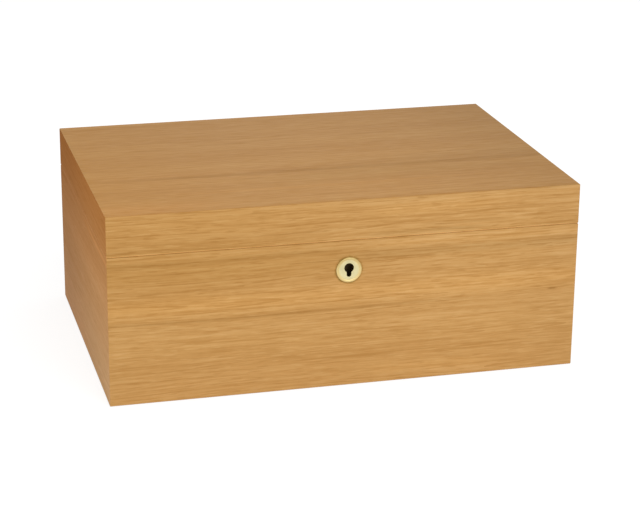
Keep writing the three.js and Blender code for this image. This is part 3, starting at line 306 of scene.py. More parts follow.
FRONT_TONES = (tone(179, 128, 64), tone(203, 154, 91), tone(217, 172, 111))
# Painted light on the lid's round edge at the seam, where the groove lies in shade, and a little painted
# shade on the body's edge
FRONT_SEAM_LIGHT = SeamLight(lid=(1.46, 1.53, 1.6), body=(0.93, 0.95, 0.94))
FRONT_CALM = (75 * MM, 40 * MM)
FRONT_MARKS = [
    # Dark streaks
    Mark(98.5, 16, (0.9, 0.87, 0.78), -250, 60, 90),
    Mark(100.3, 6, (0.88, 0.87, 0.83), start=-30, fade=60),
    Mark(105.5, 3.5, (0.87, 0.845, 0.77), end=10, fade=40),
    Mark(119, 9, (0.94, 0.925, 0.89), end=20, fade=60),
    Mark(114.9, 1.6, (0.9, 0.88, 0.82), end=-60, fade=30),
    Mark(115.3, 2.2, (0.86, 0.85, 0.8), 0, 115, 30),
    Mark(119.3, 1.5, (0.88, 0.86, 0.8), 50, 130, 30),
    Mark(142, 4, (0.93, 0.92, 0.9), start=0, fade=60),
    Mark(61, 2, (0.82, 0.78, 0.68), -260, 140, 160),
    Mark(63, 1.2, (0.7, 0.64, 0.5), 152, 162, 4),
    # Pale bands
    Mark(132, 7, (1.08, 1.09, 1.1), 0, 125, 40),
    Mark(107.5, 4.5, (1.07, 1.08, 1.1), start=5, fade=40),
    Mark(73, 13, (1.11, 1.11, 1.1)),
    Mark(42, 18, (1.06, 1.085, 1.13)),
    Mark(9.5, 6, (1.07, 1.08, 1.09), 0, 125, 40),
    # Broad shades
    Mark(120, 110, (0.98, 0.96, 0.89), -300, 60, 200),
    Mark(0, EVERYWHERE, (0.965, 0.965, 0.975), start=110, fade=60),
]

# Paler than the front's tones: painted light for the sides, which the lamps light less
SIDE_TONES = (tone(198, 147, 96), tone(207, 156, 105), tone(215, 167, 118))
# Painted highlights on the round edges at the seam
SIDE_SEAM_LIGHT = SeamLight(lid=(1.12, 1.16, 1.22), body=(1.15, 1.19, 1.26))
SIDE_MARKS = [
    # Painted reflection and shade by height: darker and redder at the top, paler and bluer low down where
    # the floor is reflected, and a little paler between
    Mark(142, 80, (0.83, 0.655, 0.44)),
    Mark(84, 25, (1.06, 1.05, 1.04)),
    Mark(0, 60, (1.09, 1.25, 1.47)),
    # Painted light towards the front: a highlight along the seam and a paler band above it
    Mark(109, 3.5, (1.14, 1.13, 1.12), start=0, fade=50),
    Mark(117, 14, (1.05, 1.06, 1.06), start=50, fade=60),
    # Painted light low down at the back, and painted shade growing towards the back as the light falls off
    # along the side
    Mark(0, 50, (1.12, 1.08, 1.09), end=60, fade=100),
    Mark(0, EVERYWHERE, (0.74, 0.7, 0.71), end=117, fade=235),
]

TOP_TONES = (tone(185, 134, 76), tone(197, 147, 88), tone(207, 160, 101))
TOP_MARKS = [
    # Streaks
    Mark(-36, 6, (0.88, 0.85, 0.79), -200, 260, 120),
    Mark(-26, 18, (0.95, 0.95, 0.94), start=-60, fade=120),
    Mark(-76, 5, (1.05, 1.05, 1.04), -150, 110, 60),
    Mark(-50, 28, (0.95, 0.965, 0.965), -80, 170, 90),
    Mark(-105, 22, (1.06, 1.03, 1.02), end=-60, fade=80),
    # Darker and yellower along the front edge
    Mark(-117.5, 9, (0.92, 0.87, 0.71)),
    # Painted shade as the light falls off across the top: darker towards the right and the back, and
    # yellower at the left end
    Mark(0, EVERYWHERE, (0.87, 0.88, 0.89), start=0, fade=200),
    Mark(0, EVERYWHERE, (0.95, 0.95, 0.93), start=100, fade=90),
    Mark(0, EVERYWHERE, (1.0, 0.97, 0.86), end=-50, fade=130),
    Mark(117, 235, (0.93, 0.95, 1.02)),
]


def wandering(tree, place):
    """The place, shifted across the grain by a slow noise."""
    slow = tree.noise(place, along=2.5, across=14, output="Color")
    centred = tree.vector("SUBTRACT", slow, (0.5, 0.5, 0.5))
    drift = tree.vector("MULTIPLY", centred, (0, GRAIN_DRIFT, GRAIN_DRIFT))
    return tree.vector("ADD", place, drift)


def ring_edges(tree, grain):
    """The dark late wood of growth rings, broken along its length: 1 on it and 0 off it."""
    slow = tree.noise(grain, along=0.9, across=40, detail=1)
    rings = tree.calc("FRACT", tree.product(slow, RING_COUNT))
    breaks = tree.noise(grain, along=18, across=300, roughness=0.6)
    return tree.product(tree.span(rings, 0.7, 1.0), tree.span(breaks, 0.45, 0.6))


def off(tree, value, middle):
    """How far a value lies from a middle one."""
    return tree.calc("ABSOLUTE", tree.calc("SUBTRACT", value, middle))


def marked(tree, colour, mark, along, across):
    """The colour with one mark on it."""
    ridge = tree.span(off(tree, across, mark.middle * MM), mark.half * MM, 0)
    opening = tree.span(along, mark.start * MM, (mark.start + mark.fade) * MM)
    closing = tree.span(along, mark.end * MM, (mark.end - mark.fade) * MM)
    return tree.times(colour, tree.product(ridge, opening, closing), mark.shares)


def seam_painted_light(tree, colour, place, wear_and_light):
    """The colour with painted light and shade on the round edges where lid and body part, but not on their
    rims.
    """
    height = tree.axis(place, "Z")
    edge = tree.calc("LESS_THAN", tree.facing("Z"), RIM_FLATNESS)
    amount = tree.product(tree.span(off(tree, height, SEAM_HEIGHT), *SEAM_LIGHT_REACH), edge)
    on_lid = tree.calc("GREATER_THAN", height, SEAM_HEIGHT)
    return tree.times(colour, amount, tree.mix(on_lid, wear_and_light.body, wear_and_light.lid))


def round_plate(tree, place):
    """How far points lie from the axis of the keyhole plate."""
    away = tree.vector("SUBTRACT", place, (PLATE_MIDDLE.x, 0, PLATE_MIDDLE.z))
    flat = tree.vector("MULTIPLY", away, (1, 0, 1))
    return tree.vector("LENGTH", flat, output="Value")


def shaded_round_plate(tree, colour, place):
    """The colour with uneven painted shade on the front wall, in the corner where the keyhole plate meets
    it.
    """
    near = tree.span(round_plate(tree, place), PLATE_RADIUS + PLATE_SHADE, PLATE_RADIUS)
    shade_patches = tree.noise(place, 260, roughness=0.6)
    uneven = tree.span(shade_patches, 0.35, 0.65, to=(0.25, 1.0))
    on_front = tree.calc("LESS_THAN", tree.axis(place, "Y"), 0)
    return tree.times(colour, tree.product(near, uneven, on_front), PLATE_SHADE_SHARES)


def oak(name, turn, across, tones, marks, specular, wear_and_light=None, calm=None, plate=False):
    """Oak veneer with growth bands, fibres, mottle, ring edges, short dark pores and pale ray flecks.

    turn brings the grain to the X axis, and across is the axis of the face that lies across the grain.
    tones go from dark to light, calm holds the heights between which the grain grows fainter downwards,
    the seam's shares give painted light and shade on its round edges, and plate says whether the wood
    carries the keyhole plate, with painted shade in the corner round it.
    """
    tree = material_tree(name)
    place = tree.mapped(tree.place(), turn=turn)
    grain = wandering(tree, place)
    dark, middle, light = tones
    bands = tree.noise(grain, along=0.6, across=36, detail=3, roughness=0.55)
    long_fibres = tree.noise(grain, along=7, across=460, roughness=0.65)
    short_fibres = tree.noise(grain, along=34, across=760, roughness=0.65)
    mottle = tree.noise(grain, along=120, across=170, roughness=0.6)
    pores = tree.noise(grain, along=66, across=980, detail=1)
    deep = tree.span(pores, 0.6, 0.7)
    flecks = tree.span(pores, 0.41, 0.32)
    figure = tree.total((bands, 0.27), (long_fibres, 0.36), (short_fibres, 0.3), (mottle, 0.07))
    colour = tree.ramp(figure, {0.32: dark, 0.5: middle, 0.68: light})
    colour = tree.mix(tree.product(ring_edges(tree, grain), RING_STRENGTH), colour, dark)
    colour = tree.mix(tree.product(deep, PORE_STRENGTH), colour, dark)
    colour = tree.mix(tree.product(flecks, FLECK_STRENGTH), colour, light)
    if calm:
        calmed = tree.span(tree.axis(place, "Z"), *calm, to=(0.0, CALM_STRENGTH))
        colour = tree.mix(calmed, colour, middle)
    grain_along, grain_across = tree.axis(grain, "X"), tree.axis(grain, across)
    for mark in marks:
        colour = marked(tree, colour, mark, grain_along, grain_across)
    # Painted light and shade on the round edges of the seam
    if wear_and_light:
        colour = seam_painted_light(tree, colour, place, wear_and_light)
    # Painted shade in the corner round the keyhole plate
    if plate:
        colour = shaded_round_plate(tree, colour, place)
    rough = tree.span(pores, 0.4, 0.7, to=(0.5, 0.62))
    normal = tree.bump(tree.calc("SUBTRACT", short_fibres, deep), distance=0.04 * MM, strength=0.4)
    return tree.surface(Base_Color=colour, Roughness=rough, Normal=normal, Specular_IOR_Level=specular)


def cedar(name, turn):
    """Cedar with soft bands, fine fibres and short pores. turn brings the grain to the X axis."""
    tree = material_tree(name)
    place = tree.mapped(tree.place(), turn=turn)
    bands = tree.noise(place, along=1.1, across=55, detail=3, roughness=0.55)
    fibres = tree.noise(place, along=9, across=520, detail=3, roughness=0.6)
    pores = tree.noise(place, along=60, across=1100, detail=1)
    deep = tree.span(pores, 0.6, 0.75)
    figure = tree.total((bands, 0.6), (fibres, 0.4))
    colour = tree.ramp(figure, {0.3: tone(166, 108, 72), 0.5: tone(198, 142, 102), 0.7: tone(214, 166, 124)})
    colour = tree.mix(tree.product(deep, 0.4), colour, tone(136, 80, 50))
    rough = tree.span(bands, 0.3, 0.7, to=(0.62, 0.74))
    normal = tree.bump(tree.calc("SUBTRACT", fibres, deep), distance=0.06 * MM, strength=0.5)
    return tree.surface(Base_Color=colour, Roughness=rough, Normal=normal, Specular_IOR_Level=0.3)


def metal(name, dull, bright, roughness):
    """Brushed metal whose colour and roughness vary a little between two colours and two amounts."""
    tree = material_tree(name)
    place = tree.place()
    stain = tree.noise(place, 90, detail=3, roughness=0.6)
    lines = tree.noise(place, along=160, across=1600, roughness=0.6)
    colour = tree.ramp(stain, {0.3: dull, 0.7: bright})
    return tree.surface(Base_Color=colour, Metallic=1.0, Roughness=tree.span(lines, 0.3, 0.7, to=roughness))


def keyhole_brass(name):
    """Pale satin brass with a yellow rim, painted darker on its upper part as a dim reflection, and painted
    dark in the bore of the keyhole as shade.
    """
    tree = material_tree(name)
    place = tree.place()
    radius = round_plate(tree, place)
    stain = tree.noise(place, 180, detail=3, roughness=0.6)
    colour = tree.ramp(stain, {0.3: tone(206, 196, 150), 0.7: tone(222, 211, 165)})
    rim = tree.span(radius, *PLATE_RIM)
    colour = tree.mix(rim, colour, tone(219, 197, 140))
    rise = tree.calc("SUBTRACT", tree.axis(place, "Z"), PLATE_MIDDLE.z)
    # Painted shade on the upper part of the rim, standing in for a dim reflection
    rim_shade = tree.product(tree.span(radius, *PLATE_RIM_SHADE), tree.span(rise, *RIM_SHADE_RISE))
    colour = tree.times(colour, rim_shade, RIM_SHADE_SHARES)
    # Painted shade: the walls of the keyhole's bore are made dark where little light reaches
    sideways = tree.calc("LESS_THAN", tree.facing("Y"), BORE_FACING)
    bore = tree.product(sideways, tree.calc("LESS_THAN", radius, KEYHOLE_REACH))
    colour = tree.mix(bore, colour, tone(46, 36, 22))
    satin = tree.span(stain, 0.3, 0.7, to=(0.4, 0.5))
    rough = tree.total((satin, 1.0), (rim, RIM_ROUGHNESS))
    rough = tree.calc("MAXIMUM", rough, tree.product(bore, BORE_ROUGHNESS))
    return tree.surface(Base_Color=colour, Metallic=1.0, Roughness=rough)


def plastic(name):
    """Black plastic with a fine moulded grain."""
    tree = material_tree(name)
    place = tree.place()
    grain = tree.noise(place, 1500, roughness=0.6)
    wear_and_light = tree.noise(place, 90, detail=3, roughness=0.6)
    colour = tree.ramp(wear_and_light, {0.3: tone(26, 26, 28), 0.7: tone(38, 38, 40)})
    rough = tree.span(wear_and_light, 0.3, 0.7, to=(0.4, 0.55))
    normal = tree.bump(grain, distance=0.05 * MM, strength=0.5)
    return tree.surface(Base_Color=colour, Roughness=rough, Normal=normal)


def felt(name):
    """Green felt with a fuzzy, tufted nap."""
    tree = material_tree(name)
    place = tree.place()
    fuzz = tree.noise(place, 1400, detail=4, roughness=0.7)
    tufts = tree.noise(place, 340, detail=4, roughness=0.7)
    patches = tree.noise(place, 30, detail=3, roughness=0.6)
    nap = tree.total((fuzz, 0.4), (tufts, 0.6))
    colour = tree.ramp(nap, {0.36: tone(12, 38, 24), 0.5: tone(26, 64, 42), 0.64: tone(50, 96, 66)})
    colour = tree.times(colour, tree.span(patches, 0.3, 0.7), (0.78, 0.82, 0.78))
    return tree.surface(
        Base_Color=colour, Roughness=0.95, Sheen_Weight=0.15, Sheen_Roughness=0.5,
        Normal=tree.bump(nap, distance=0.4 * MM, strength=0.9),
    )


def foam(name):
    """Green foam with open cells."""
    tree = material_tree(name)
    place = tree.place()
    cells = tree.add("ShaderNodeTexVoronoi", {"Vector": place, "Scale": 900}, "Distance")
    patches = tree.noise(place, 80, detail=3, roughness=0.6)
    colour = tree.ramp(cells, {0.1: tone(34, 74, 50), 0.7: tone(86, 138, 96)})
    colour = tree.times(colour, tree.span(patches, 0.3, 0.7), (0.85, 0.9, 0.85))
    normal = tree.bump(cells, distance=0.3 * MM, strength=0.8)
    return tree.surface(Base_Color=colour, Roughness=0.9, Normal=normal)


def card(name):
    """Cream card, a little uneven with age."""
    tree = material_tree(name)
    place = tree.place()
    fibres = tree.noise(place, 900, detail=3, roughness=0.6)
    age = tree.noise(place, 60)
    colour = tree.ramp(age, {0.3: tone(238, 233, 216), 0.7: tone(247, 244, 232)})
    normal = tree.bump(fibres, distance=0.02 * MM, strength=0.4)
    return tree.surface(Base_Color=colour, Roughness=0.6, Normal=normal)


def ink(name, colour):
    """Printing ink with small paler specks."""
    tree = material_tree(name)
    specks = tree.noise(tree.place(), 2500)
    pale = [1.5 * value + 0.01 for value in colour]
    return tree.surface(Base_Color=tree.ramp(specks, {0.4: colour, 0.8: pale}), Roughness=0.7)


def glass(name):
    """Clear glass that lets lamps light what is behind it."""
    tree = material_tree(name)
    smears = tree.noise(tree.place(), 120, detail=3, roughness=0.6)
    rough = tree.span(smears, 0.3, 0.7, to=(0.01, 0.04))
    clear = tree.principled(Base_Color=(0.97, 0.99, 0.98), Roughness=rough, IOR=1.5, Transmission_Weight=1.0)
    unseen = tree.add("ShaderNodeBsdfTransparent", {})
    shadow = tree.add("ShaderNodeLightPath", {}, "Is Shadow Ray")
    return tree.material(tree.add("ShaderNodeMixShader", {0: shadow, 1: clear, 2: unseen}))


FINISHES = {
    "oak_front": oak(
        "oak_front", turn=0, across="Z", tones=FRONT_TONES, marks=FRONT_MARKS, specular=0.15,
        wear_and_light=FRONT_SEAM_LIGHT, calm=FRONT_CALM, plate=True,
    ),
    "oak_side": oak(
        "oak_side", turn=QUARTER, across="Z", tones=SIDE_TONES, marks=SIDE_MARKS, specular=0.0,
        wear_and_light=SIDE_SEAM_LIGHT,
    ),
    "oak_top": oak("oak_top", turn=0, across="Y", tones=TOP_TONES, marks=TOP_MARKS, specular=0.05),
    "cedar_long": cedar("cedar_long", turn=0),
    "cedar_across": cedar("cedar_across", turn=QUARTER),
    "brass": metal("brass", tone(222, 188, 108), tone(238, 212, 146), roughness=(0.2, 0.28)),
    "screw_brass": metal("screw_brass", tone(178, 140, 70), tone(206, 170, 98), roughness=(0.3, 0.42)),
    "keyhole_brass": keyhole_brass("keyhole_brass"),
    "steel": metal("steel", tone(150, 152, 156), tone(186, 188, 190), roughness=(0.26, 0.4)),
    "iron": metal("iron", tone(96, 80, 54), tone(124, 104, 72), roughness=(0.45, 0.6)),
    "plastic": plastic("plastic"),
    "felt": felt("felt"),
    "foam": foam("foam"),
    "card": card("card"),
    "black_ink": ink("black_ink", tone(30, 28, 26)),
    "green_ink": ink("green_ink", tone(62, 120, 74)),
    "glass": glass("glass"),
}

NODE_FINISH = {
    "oak_front": ["front_wall", "back_wall", "lid_front", "lid_back", "base_panel"],
    "oak_side": ["left_wall", "right_wall", "lid_left", "lid_right"],
    "oak_top": ["lid_top"],
    "cedar_long": [
        "lining_floor", "lining_front", "lining_back", "front_runner", "back_runner", "lid_lining_top",
        "lid_lining_front", "lid_lining_back", "tray_front", "tray_back", "tray_floor",
    ],
    "cedar_across": [
        "lining_left", "lining_right", "lid_lining_left", "lid_lining_right", "tray_left", "tray_right",
        "tray_divider", "lower_divider",
    ],
    "brass": [
        "hinge_leaf_body_left", "hinge_leaf_body_right", "hinge_leaf_lid_left", "hinge_leaf_lid_right",
        "hinge_pin_left", "hinge_pin_right", "hinge_stay_left", "hinge_stay_right", "lock_case",
        "link_plate", "hygrometer_case", "hygrometer_bezel",
    ],
    "keyhole_brass": ["escutcheon"],
    "steel": ["humidifier_plate", "hygrometer_magnet"],
    "iron": ["lock_cap", "lock_bolt", "bolt_spring"],
    "plastic": ["humidifier_case", "humidifier_cover", "hygrometer_needle"],
    "card": ["hygrometer_dial"],
    "glass": ["hygrometer_glass"],
}
BOARD_FINISHES = ("cedar_long", "cedar_across")
SMOOTH_FINISHES = ("brass", "keyhole_brass", "steel", "iron", "plastic", "card", "glass")


def nodes_with(finishes):
    """The objects of the nodes that have one of the finishes."""
    return [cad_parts[name] for finish in finishes for name in NODE_FINISH[finish]]


def give(piece, material):
    piece.data.materials.clear()
    piece.data.materials.append(material)


def dress_nodes():
    for finish in NODE_FINISH:
        for node in nodes_with([finish]):
            give(node, FINISHES[finish])


def smoothing_group():
    """Geometry nodes that join the facets of a piece and shade it round between its sharp edges."""
    group = bpy.data.node_groups.new("smooth_between_edges", "GeometryNodeTree")
    for direction in ("INPUT", "OUTPUT"):
        group.interface.new_socket("Geometry", in_out=direction, socket_type="NodeSocketGeometry")
    nodes, links = group.nodes, group.links
    plain = nodes.new("GeometryNodeRemoveAttribute")
    plain.inputs["Name"].default_value = "custom_normal"
    joined = nodes.new("GeometryNodeMergeByDistance")
    joined.inputs["Distance"].default_value = MERGE
    smooth = nodes.new("GeometryNodeSetShadeSmooth")
    angle = nodes.new("GeometryNodeInputMeshEdgeAngle")
    steep = nodes.new("FunctionNodeCompare")
    steep.data_type = "FLOAT"
    steep.operation = "GREATER_THAN"
    steep.inputs["B"].default_value = math.radians(SHARP_ANGLE)
    sharp = nodes.new("GeometryNodeSetShadeSmooth")
    sharp.domain = "EDGE"
    sharp.inputs["Shade Smooth"].default_value = False
    links.new(angle.outputs["Unsigned Angle"], steep.inputs["A"])
    links.new(steep.outputs["Result"], sharp.inputs["Selection"])
    chain = [nodes.new("NodeGroupInput"), plain, joined, smooth, sharp, nodes.new("NodeGroupOutput")]
    for first, second in zip(chain, chain[1:]):
        links.new(first.outputs["Geometry"], second.inputs["Geometry"])
    return group


def smooth_pieces():
    """Rounds the shading of the turned and bent pieces."""
    group = smoothing_group()
    for node in nodes_with(SMOOTH_FINISHES):
        node.modifiers.new("smooth", "NODES").node_group = group


def ease_boards():
    """Rounds the sharp edges of the cedar boards a little."""
    for board in nodes_with(BOARD_FINISHES):
        weld = board.modifiers.new("weld", "WELD")
        weld.merge_threshold = MERGE
        flatten = board.modifiers.new("flatten", "DECIMATE")
        flatten.decimate_type = "DISSOLVE"
        flatten.angle_limit = math.radians(FLAT_ANGLE)
        ease = board.modifiers.new("ease", "BEVEL")
        ease.width = BOARD_EASE
        ease.segments = EASE_STEPS
        ease.limit_method = "ANGLE"
        ease.angle_limit = math.radians(SHARP_ANGLE)


def piece_of(name, form, body, finish):
    """A new piece with the shape of a bmesh, which rides on a body."""
    mesh = bpy.data.meshes.new(name)
    form.to_mesh(mesh)
    form.free()
    piece = bpy.data.objects.new(name, mesh)
    bpy.context.scene.collection.objects.link(piece)
    give(piece, FINISHES[finish])
    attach(piece, body)
    return piece


def everything(form):
    """All points, edges and faces of a bmesh."""
    return form.verts[:] + form.edges[:] + form.faces[:]


def divided_block(low, high, step):
    """A block between two corners, cut into about equal steps along each axis."""
    block = bmesh.new()
    bmesh.ops.create_cube(block, size=1)
    size, middle = high - low, (low + high) / 2
    for vertex in block.verts:
        vertex.co = vertex.co * size + middle
    for axis, normal in enumerate(Matrix.Identity(3)):
        count = max(2, round(size[axis] / step))
        for index in range(1, count):
            point = low + normal * size[axis] * index / count
            bmesh.ops.bisect_plane(block, geom=everything(block), plane_co=point, plane_no=normal)
    return block


def round_upright_edges(block, low, high, corner):
    """Draws the points by the upright edges of a block in to a radius."""
    for vertex in block.verts:
        x = min(max(vertex.co.x, low.x + corner), high.x - corner)
        y = min(max(vertex.co.y, low.y + corner), high.y - corner)
        inner = Vector((x, y, vertex.co.z))
        away = vertex.co - inner
        if away.length > corner:
            vertex.co = inner + away * corner / away.length


def soft_block(low, high, soft):
    """A block between two corners, with round upright edges and an uneven skin that only goes inwards."""
    block = divided_block(low, high, soft.step)
    round_upright_edges(block, low, high, soft.corner)
    block.normal_update()
    for vertex in block.verts:
        depth = soft.dent * (1 + noise.noise(vertex.co / (DENT_STEPS * soft.step))) / 2
        vertex.co -= vertex.normal * max(0.0, depth)
    for face in block.faces:
        face.smooth = True
    return block


def make_felt():
    low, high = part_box("felt_base")
    piece = piece_of("felt_sheet", soft_block(low, high, FELT), "body", "felt")
    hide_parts("felt_base")


def make_foam():
    low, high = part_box("humidifier_foam")
    piece = piece_of("foam_block", soft_block(low, high, FOAM), "lid", "foam")
    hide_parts("humidifier_foam")


def countersunk_screw():
    """A screw whose head is flat, lies at the origin and faces up."""
    form = bmesh.new()
    outline = [(SCREW_HEAD, 0), (SCREW_SHANK, -SCREW_CONE), (SCREW_SHANK, -SCREW_LENGTH)]
    profile = [form.verts.new((radius, 0, height)) for radius, height in outline]
    edges = [form.edges.new(pair) for pair in zip(profile, profile[1:])]
    turned = {"cent": (0, 0, 0), "axis": (0, 0, 1), "angle": 2 * math.pi, "steps": SCREW_SIDES}
    bmesh.ops.spin(form, geom=profile + edges, **turned)
    bmesh.ops.remove_doubles(form, verts=form.verts[:], dist=MERGE)
    bmesh.ops.holes_fill(form, edges=form.edges[:], sides=0)
    return form


def cut_slot(form):
    """Sinks a slot along Y into the head of a screw."""
    for side in (-SLOT_HALF, SLOT_HALF):
        bmesh.ops.bisect_plane(form, geom=everything(form), plane_co=(side, 0, 0), plane_no=(1, 0, 0))
    tops = [face for face in form.faces if face.normal.z > TOP_FLATNESS]
    strip = [face for face in tops if abs(face.calc_center_median().x) < SLOT_HALF]
    sunk = bmesh.ops.extrude_face_region(form, geom=strip)["geom"]
    bmesh.ops.delete(form, geom=strip, context="FACES_ONLY")
    slope = (SCREW_HEAD - SCREW_SHANK) / SCREW_CONE
    reach = SCREW_HEAD - slope * SLOT_DEPTH - SLOT_WALL
    for vertex in sunk:
        if isinstance(vertex, bmesh.types.BMVert):
            vertex.co.z -= SLOT_DEPTH
            vertex.co.y = max(-reach, min(reach, vertex.co.y))
    bmesh.ops.recalc_face_normals(form, faces=form.faces[:])


def screws(name, body, plan):
    """Screws at the (x, y) places of a plan, sunk into the rim of a body, as one piece."""
    height = RIM_HEIGHT[body] - RIM_FACING[body] * SCREW_SINK
    flip = Matrix.Rotation(0 if RIM_FACING[body] > 0 else math.pi, 4, "X")
    first_turn, next_turn = SLOT_TURNS
    whole = bmesh.new()
    for index, (x, y) in enumerate(plan):
        one = countersunk_screw()
        cut_slot(one)
        swing = Matrix.Rotation(math.radians(first_turn + next_turn * index), 4, "Z")
        placed = Matrix.Translation((x, y, height)) @ flip @ swing
        bmesh.ops.transform(one, matrix=placed, verts=one.verts[:])
        mesh = bpy.data.meshes.new("screw")
        one.to_mesh(mesh)
        one.free()
        whole.from_mesh(mesh)
        bpy.data.meshes.remove(mesh)
    piece_of(name, whole, body, "screw_brass")


def hinge_screw_plan(leaf, side):
    """The places of the screws of a hinge leaf, on the left side, -1, or on the right side, 1."""
    low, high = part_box(leaf)
    outer = max(abs(low.x), abs(high.x)) - LEAF_HALF_WIDTH
    inner = min(abs(low.x), abs(high.x))
    arm = high.y - BARREL_TO_ARM
    plan = [(outer, low.y + LEAF_TIP), (outer, arm)]
    plan += [(inner + offset, arm) for offset in ARM_SCREWS]
    return [(side * x, y) for x, y in plan]


def end_screw_plan(plate, inset):
    """The places of the two screws of a plate, at an inset from each end."""
    low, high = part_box(plate)
    middle = (low.y + high.y) / 2
    return [(side * (high.x - inset), middle) for side in (-1, 1)]


def make_screws():
    for side_name, side in (("left", -1), ("right", 1)):
        for body in ("body", "lid"):
            plan = hinge_screw_plan(f"hinge_leaf_{body}_{side_name}", side)
            screws(f"hinge_screws_{body}_{side_name}", body, plan)
    screws("lock_case_screws", "body", end_screw_plan("lock_case", SELVEDGE_SCREW))
    screws("link_plate_screws", "lid", end_screw_plan("link_plate", LINK_SCREW))


def dial_place(value, radius):
    """The point just off the dial at a value of its scale and a radius."""
    low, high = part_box("hygrometer_dial")
    angle = math.radians((value / SCALE_MIDDLE - 1) * DIAL_SWING)
    x = (low.x + high.x) / 2 + radius * math.sin(angle)
    y = (low.y + high.y) / 2 - radius * math.cos(angle)
    return Vector((x, y, low.z - MARK_LIFT))


def dial_band(form, start, end, inner, outer, steps):
    """A thin band of the dial between two values and two radii."""
    values = [start + (end - start) * index / steps for index in range(steps + 1)]
    down = Vector((0, 0, -MARK_THICKNESS))
    rails = []
    for radius, drop in ((inner, 0), (outer, 0), (outer, 1), (inner, 1)):
        rails.append([form.verts.new(dial_place(value, radius) + down * drop) for value in values])
    for rail, following in zip(rails, rails[1:] + rails[:1]):
        for index in range(steps):
            form.faces.new((rail[index], rail[index + 1], following[index + 1], following[index]))
    for index in (0, steps):
        form.faces.new([rail[index] for rail in rails])


def make_dial_scale():
    scale = bmesh.new()
    for value in range(0, SCALE_END + 1, FINE_STEP):
        main = value % MAIN_STEP == 0
        half = MAIN_HALF if main else FINE_HALF
        inner = MAIN_INNER if main else FINE_INNER
        dial_band(scale, value - half, value + half, inner, RING_INNER, steps=1)
    dial_band(scale, 0, SCALE_END, RING_INNER, RING_OUTER, RING_STEPS)
    bmesh.ops.recalc_face_normals(scale, faces=scale.faces[:])
    piece_of("dial_scale", scale, "lid", "black_ink")


def make_comfort_arc():
    comfort = bmesh.new()
    dial_band(comfort, *COMFORT_VALUES, *COMFORT_RADII, COMFORT_STEPS)
    bmesh.ops.recalc_face_normals(comfort, faces=comfort.faces[:])
    piece_of("dial_comfort_arc", comfort, "lid", "green_ink")


def make_dial_numbers():
    numbers = bmesh.new()
    for value in range(0, SCALE_END + 1, NUMBER_STEP):
        curve = bpy.data.curves.new("number", "FONT")
        curve.body = str(value)
        curve.size = NUMBER_SIZE
        curve.align_x = curve.align_y = "CENTER"
        curve.extrude = MARK_THICKNESS / 2
        curve.resolution_u = NUMBER_CURVE_STEPS
        text = bpy.data.objects.new("number", curve)
        mesh = text.to_mesh()
        place = Matrix.Translation(dial_place(value, NUMBER_RADIUS))
        mesh.transform(place @ Matrix.Rotation(math.pi, 4, "X"))
        numbers.from_mesh(mesh)
        text.to_mesh_clear()
        bpy.data.objects.remove(text)
        bpy.data.curves.remove(curve)
    bmesh.ops.remove_doubles(numbers, verts=numbers.verts[:], dist=MERGE)
    piece_of("dial_numbers", numbers, "lid", "black_ink")


def seen_directly(tree):
    """1 for what the camera sees, also in gloss and through glass, and 0 for light that falls on things."""
    camera = tree.add("ShaderNodeLightPath", {}, "Is Camera Ray")
    glossy = tree.add("ShaderNodeLightPath", {}, "Is Glossy Ray")
    through = tree.add("ShaderNodeLightPath", {}, "Is Transmission Ray")
    return tree.calc("MAXIMUM", tree.calc("MAXIMUM", camera, glossy), through)


def make_floor():
    """A pale floor that looks white to the camera and keeps a soft shadow."""
    bpy.ops.mesh.primitive_plane_add(size=FLOOR_SIZE, location=(0, 0, -FLOOR_DROP))
    floor = bpy.context.object
    floor.name = "floor"
    tree = material_tree("floor")
    pale = tree.add("ShaderNodeBsdfDiffuse", {"Color": FLOOR_COLOUR})
    shaded = tree.add("ShaderNodeBsdfDiffuse", {"Color": FLOOR_SHADED})
    glow = tree.add("ShaderNodeEmission", {"Color": WHITE, "Strength": FLOOR_GLOW})
    white = tree.add("ShaderNodeAddShader", {0: shaded, 1: glow})
    blend = tree.add("ShaderNodeMixShader", {0: seen_directly(tree), 1: pale, 2: white})
    give(floor, tree.material(blend))


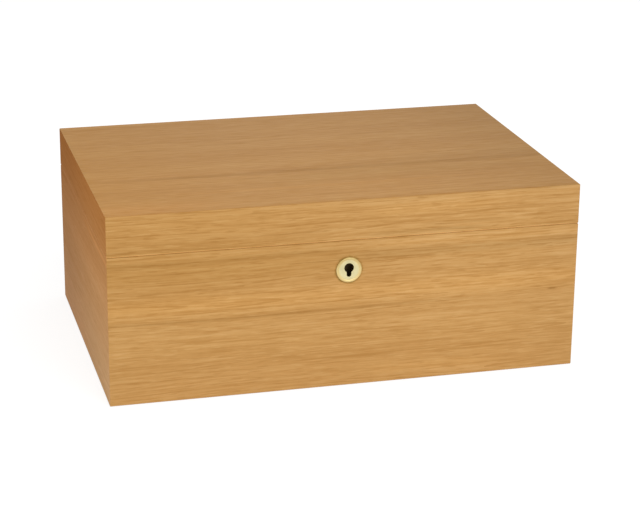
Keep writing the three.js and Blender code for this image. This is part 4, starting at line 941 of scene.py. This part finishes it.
def make_world():
    """White to the camera and in reflections, and a plain soft light for everything else."""
    world = bpy.data.worlds.new("studio")
    bpy.context.scene.world = world
    tree = Tree(world)
    soft = tree.add("ShaderNodeBackground", {"Color": WHITE, "Strength": WORLD_LIGHT})
    white = tree.add("ShaderNodeBackground", {"Color": WHITE, "Strength": 1.0})
    blend = tree.add("ShaderNodeMixShader", {0: seen_directly(tree), 1: soft, 2: white})
    tree.add("ShaderNodeOutputWorld", {"Surface": blend})


def looking_from(azimuth, elevation):
    """The turn of a camera or lamp that looks from an azimuth and an elevation."""
    upright = Matrix.Rotation(math.radians(90 - elevation), 4, "X")
    return Matrix.Rotation(math.radians(azimuth), 4, "Z") @ upright


def make_lamps():
    """Square soft lamps that look at the middle of the box."""
    middle = Matrix.Translation((cad_box[0] + cad_box[1]) / 2)
    for lamp in LAMPS:
        data = bpy.data.lights.new(lamp.name, "AREA")
        data.shape = "SQUARE"
        data.size = lamp.size
        data.energy = lamp.power
        light = bpy.data.objects.new(lamp.name, data)
        bpy.context.scene.collection.objects.link(light)
        offset = Matrix.Translation((0, 0, lamp.distance))
        light.matrix_world = middle @ looking_from(lamp.azimuth, lamp.elevation) @ offset


def make_camera():
    data = bpy.data.cameras.new("camera")
    data.lens = LENS
    data.sensor_width = SENSOR
    data.sensor_fit = "HORIZONTAL"
    camera = bpy.data.objects.new("camera", data)
    bpy.context.scene.collection.objects.link(camera)
    aim = Matrix.Translation((0, 0, cad_box[1].z / 2))
    roll = Matrix.Rotation(math.radians(ROLL), 4, "Z")
    offset = Matrix.Translation((SHIFT_RIGHT, SHIFT_UP, DISTANCE))
    camera.matrix_world = aim @ looking_from(AZIMUTH, ELEVATION) @ roll @ offset
    bpy.context.scene.camera = camera


dress_nodes()
smooth_pieces()
ease_boards()
make_felt()
make_foam()
make_screws()
make_dial_scale()
make_comfort_arc()
make_dial_numbers()
make_floor()
make_world()
make_lamps()
make_camera()
bpy.context.scene.view_settings.view_transform = "Standard"
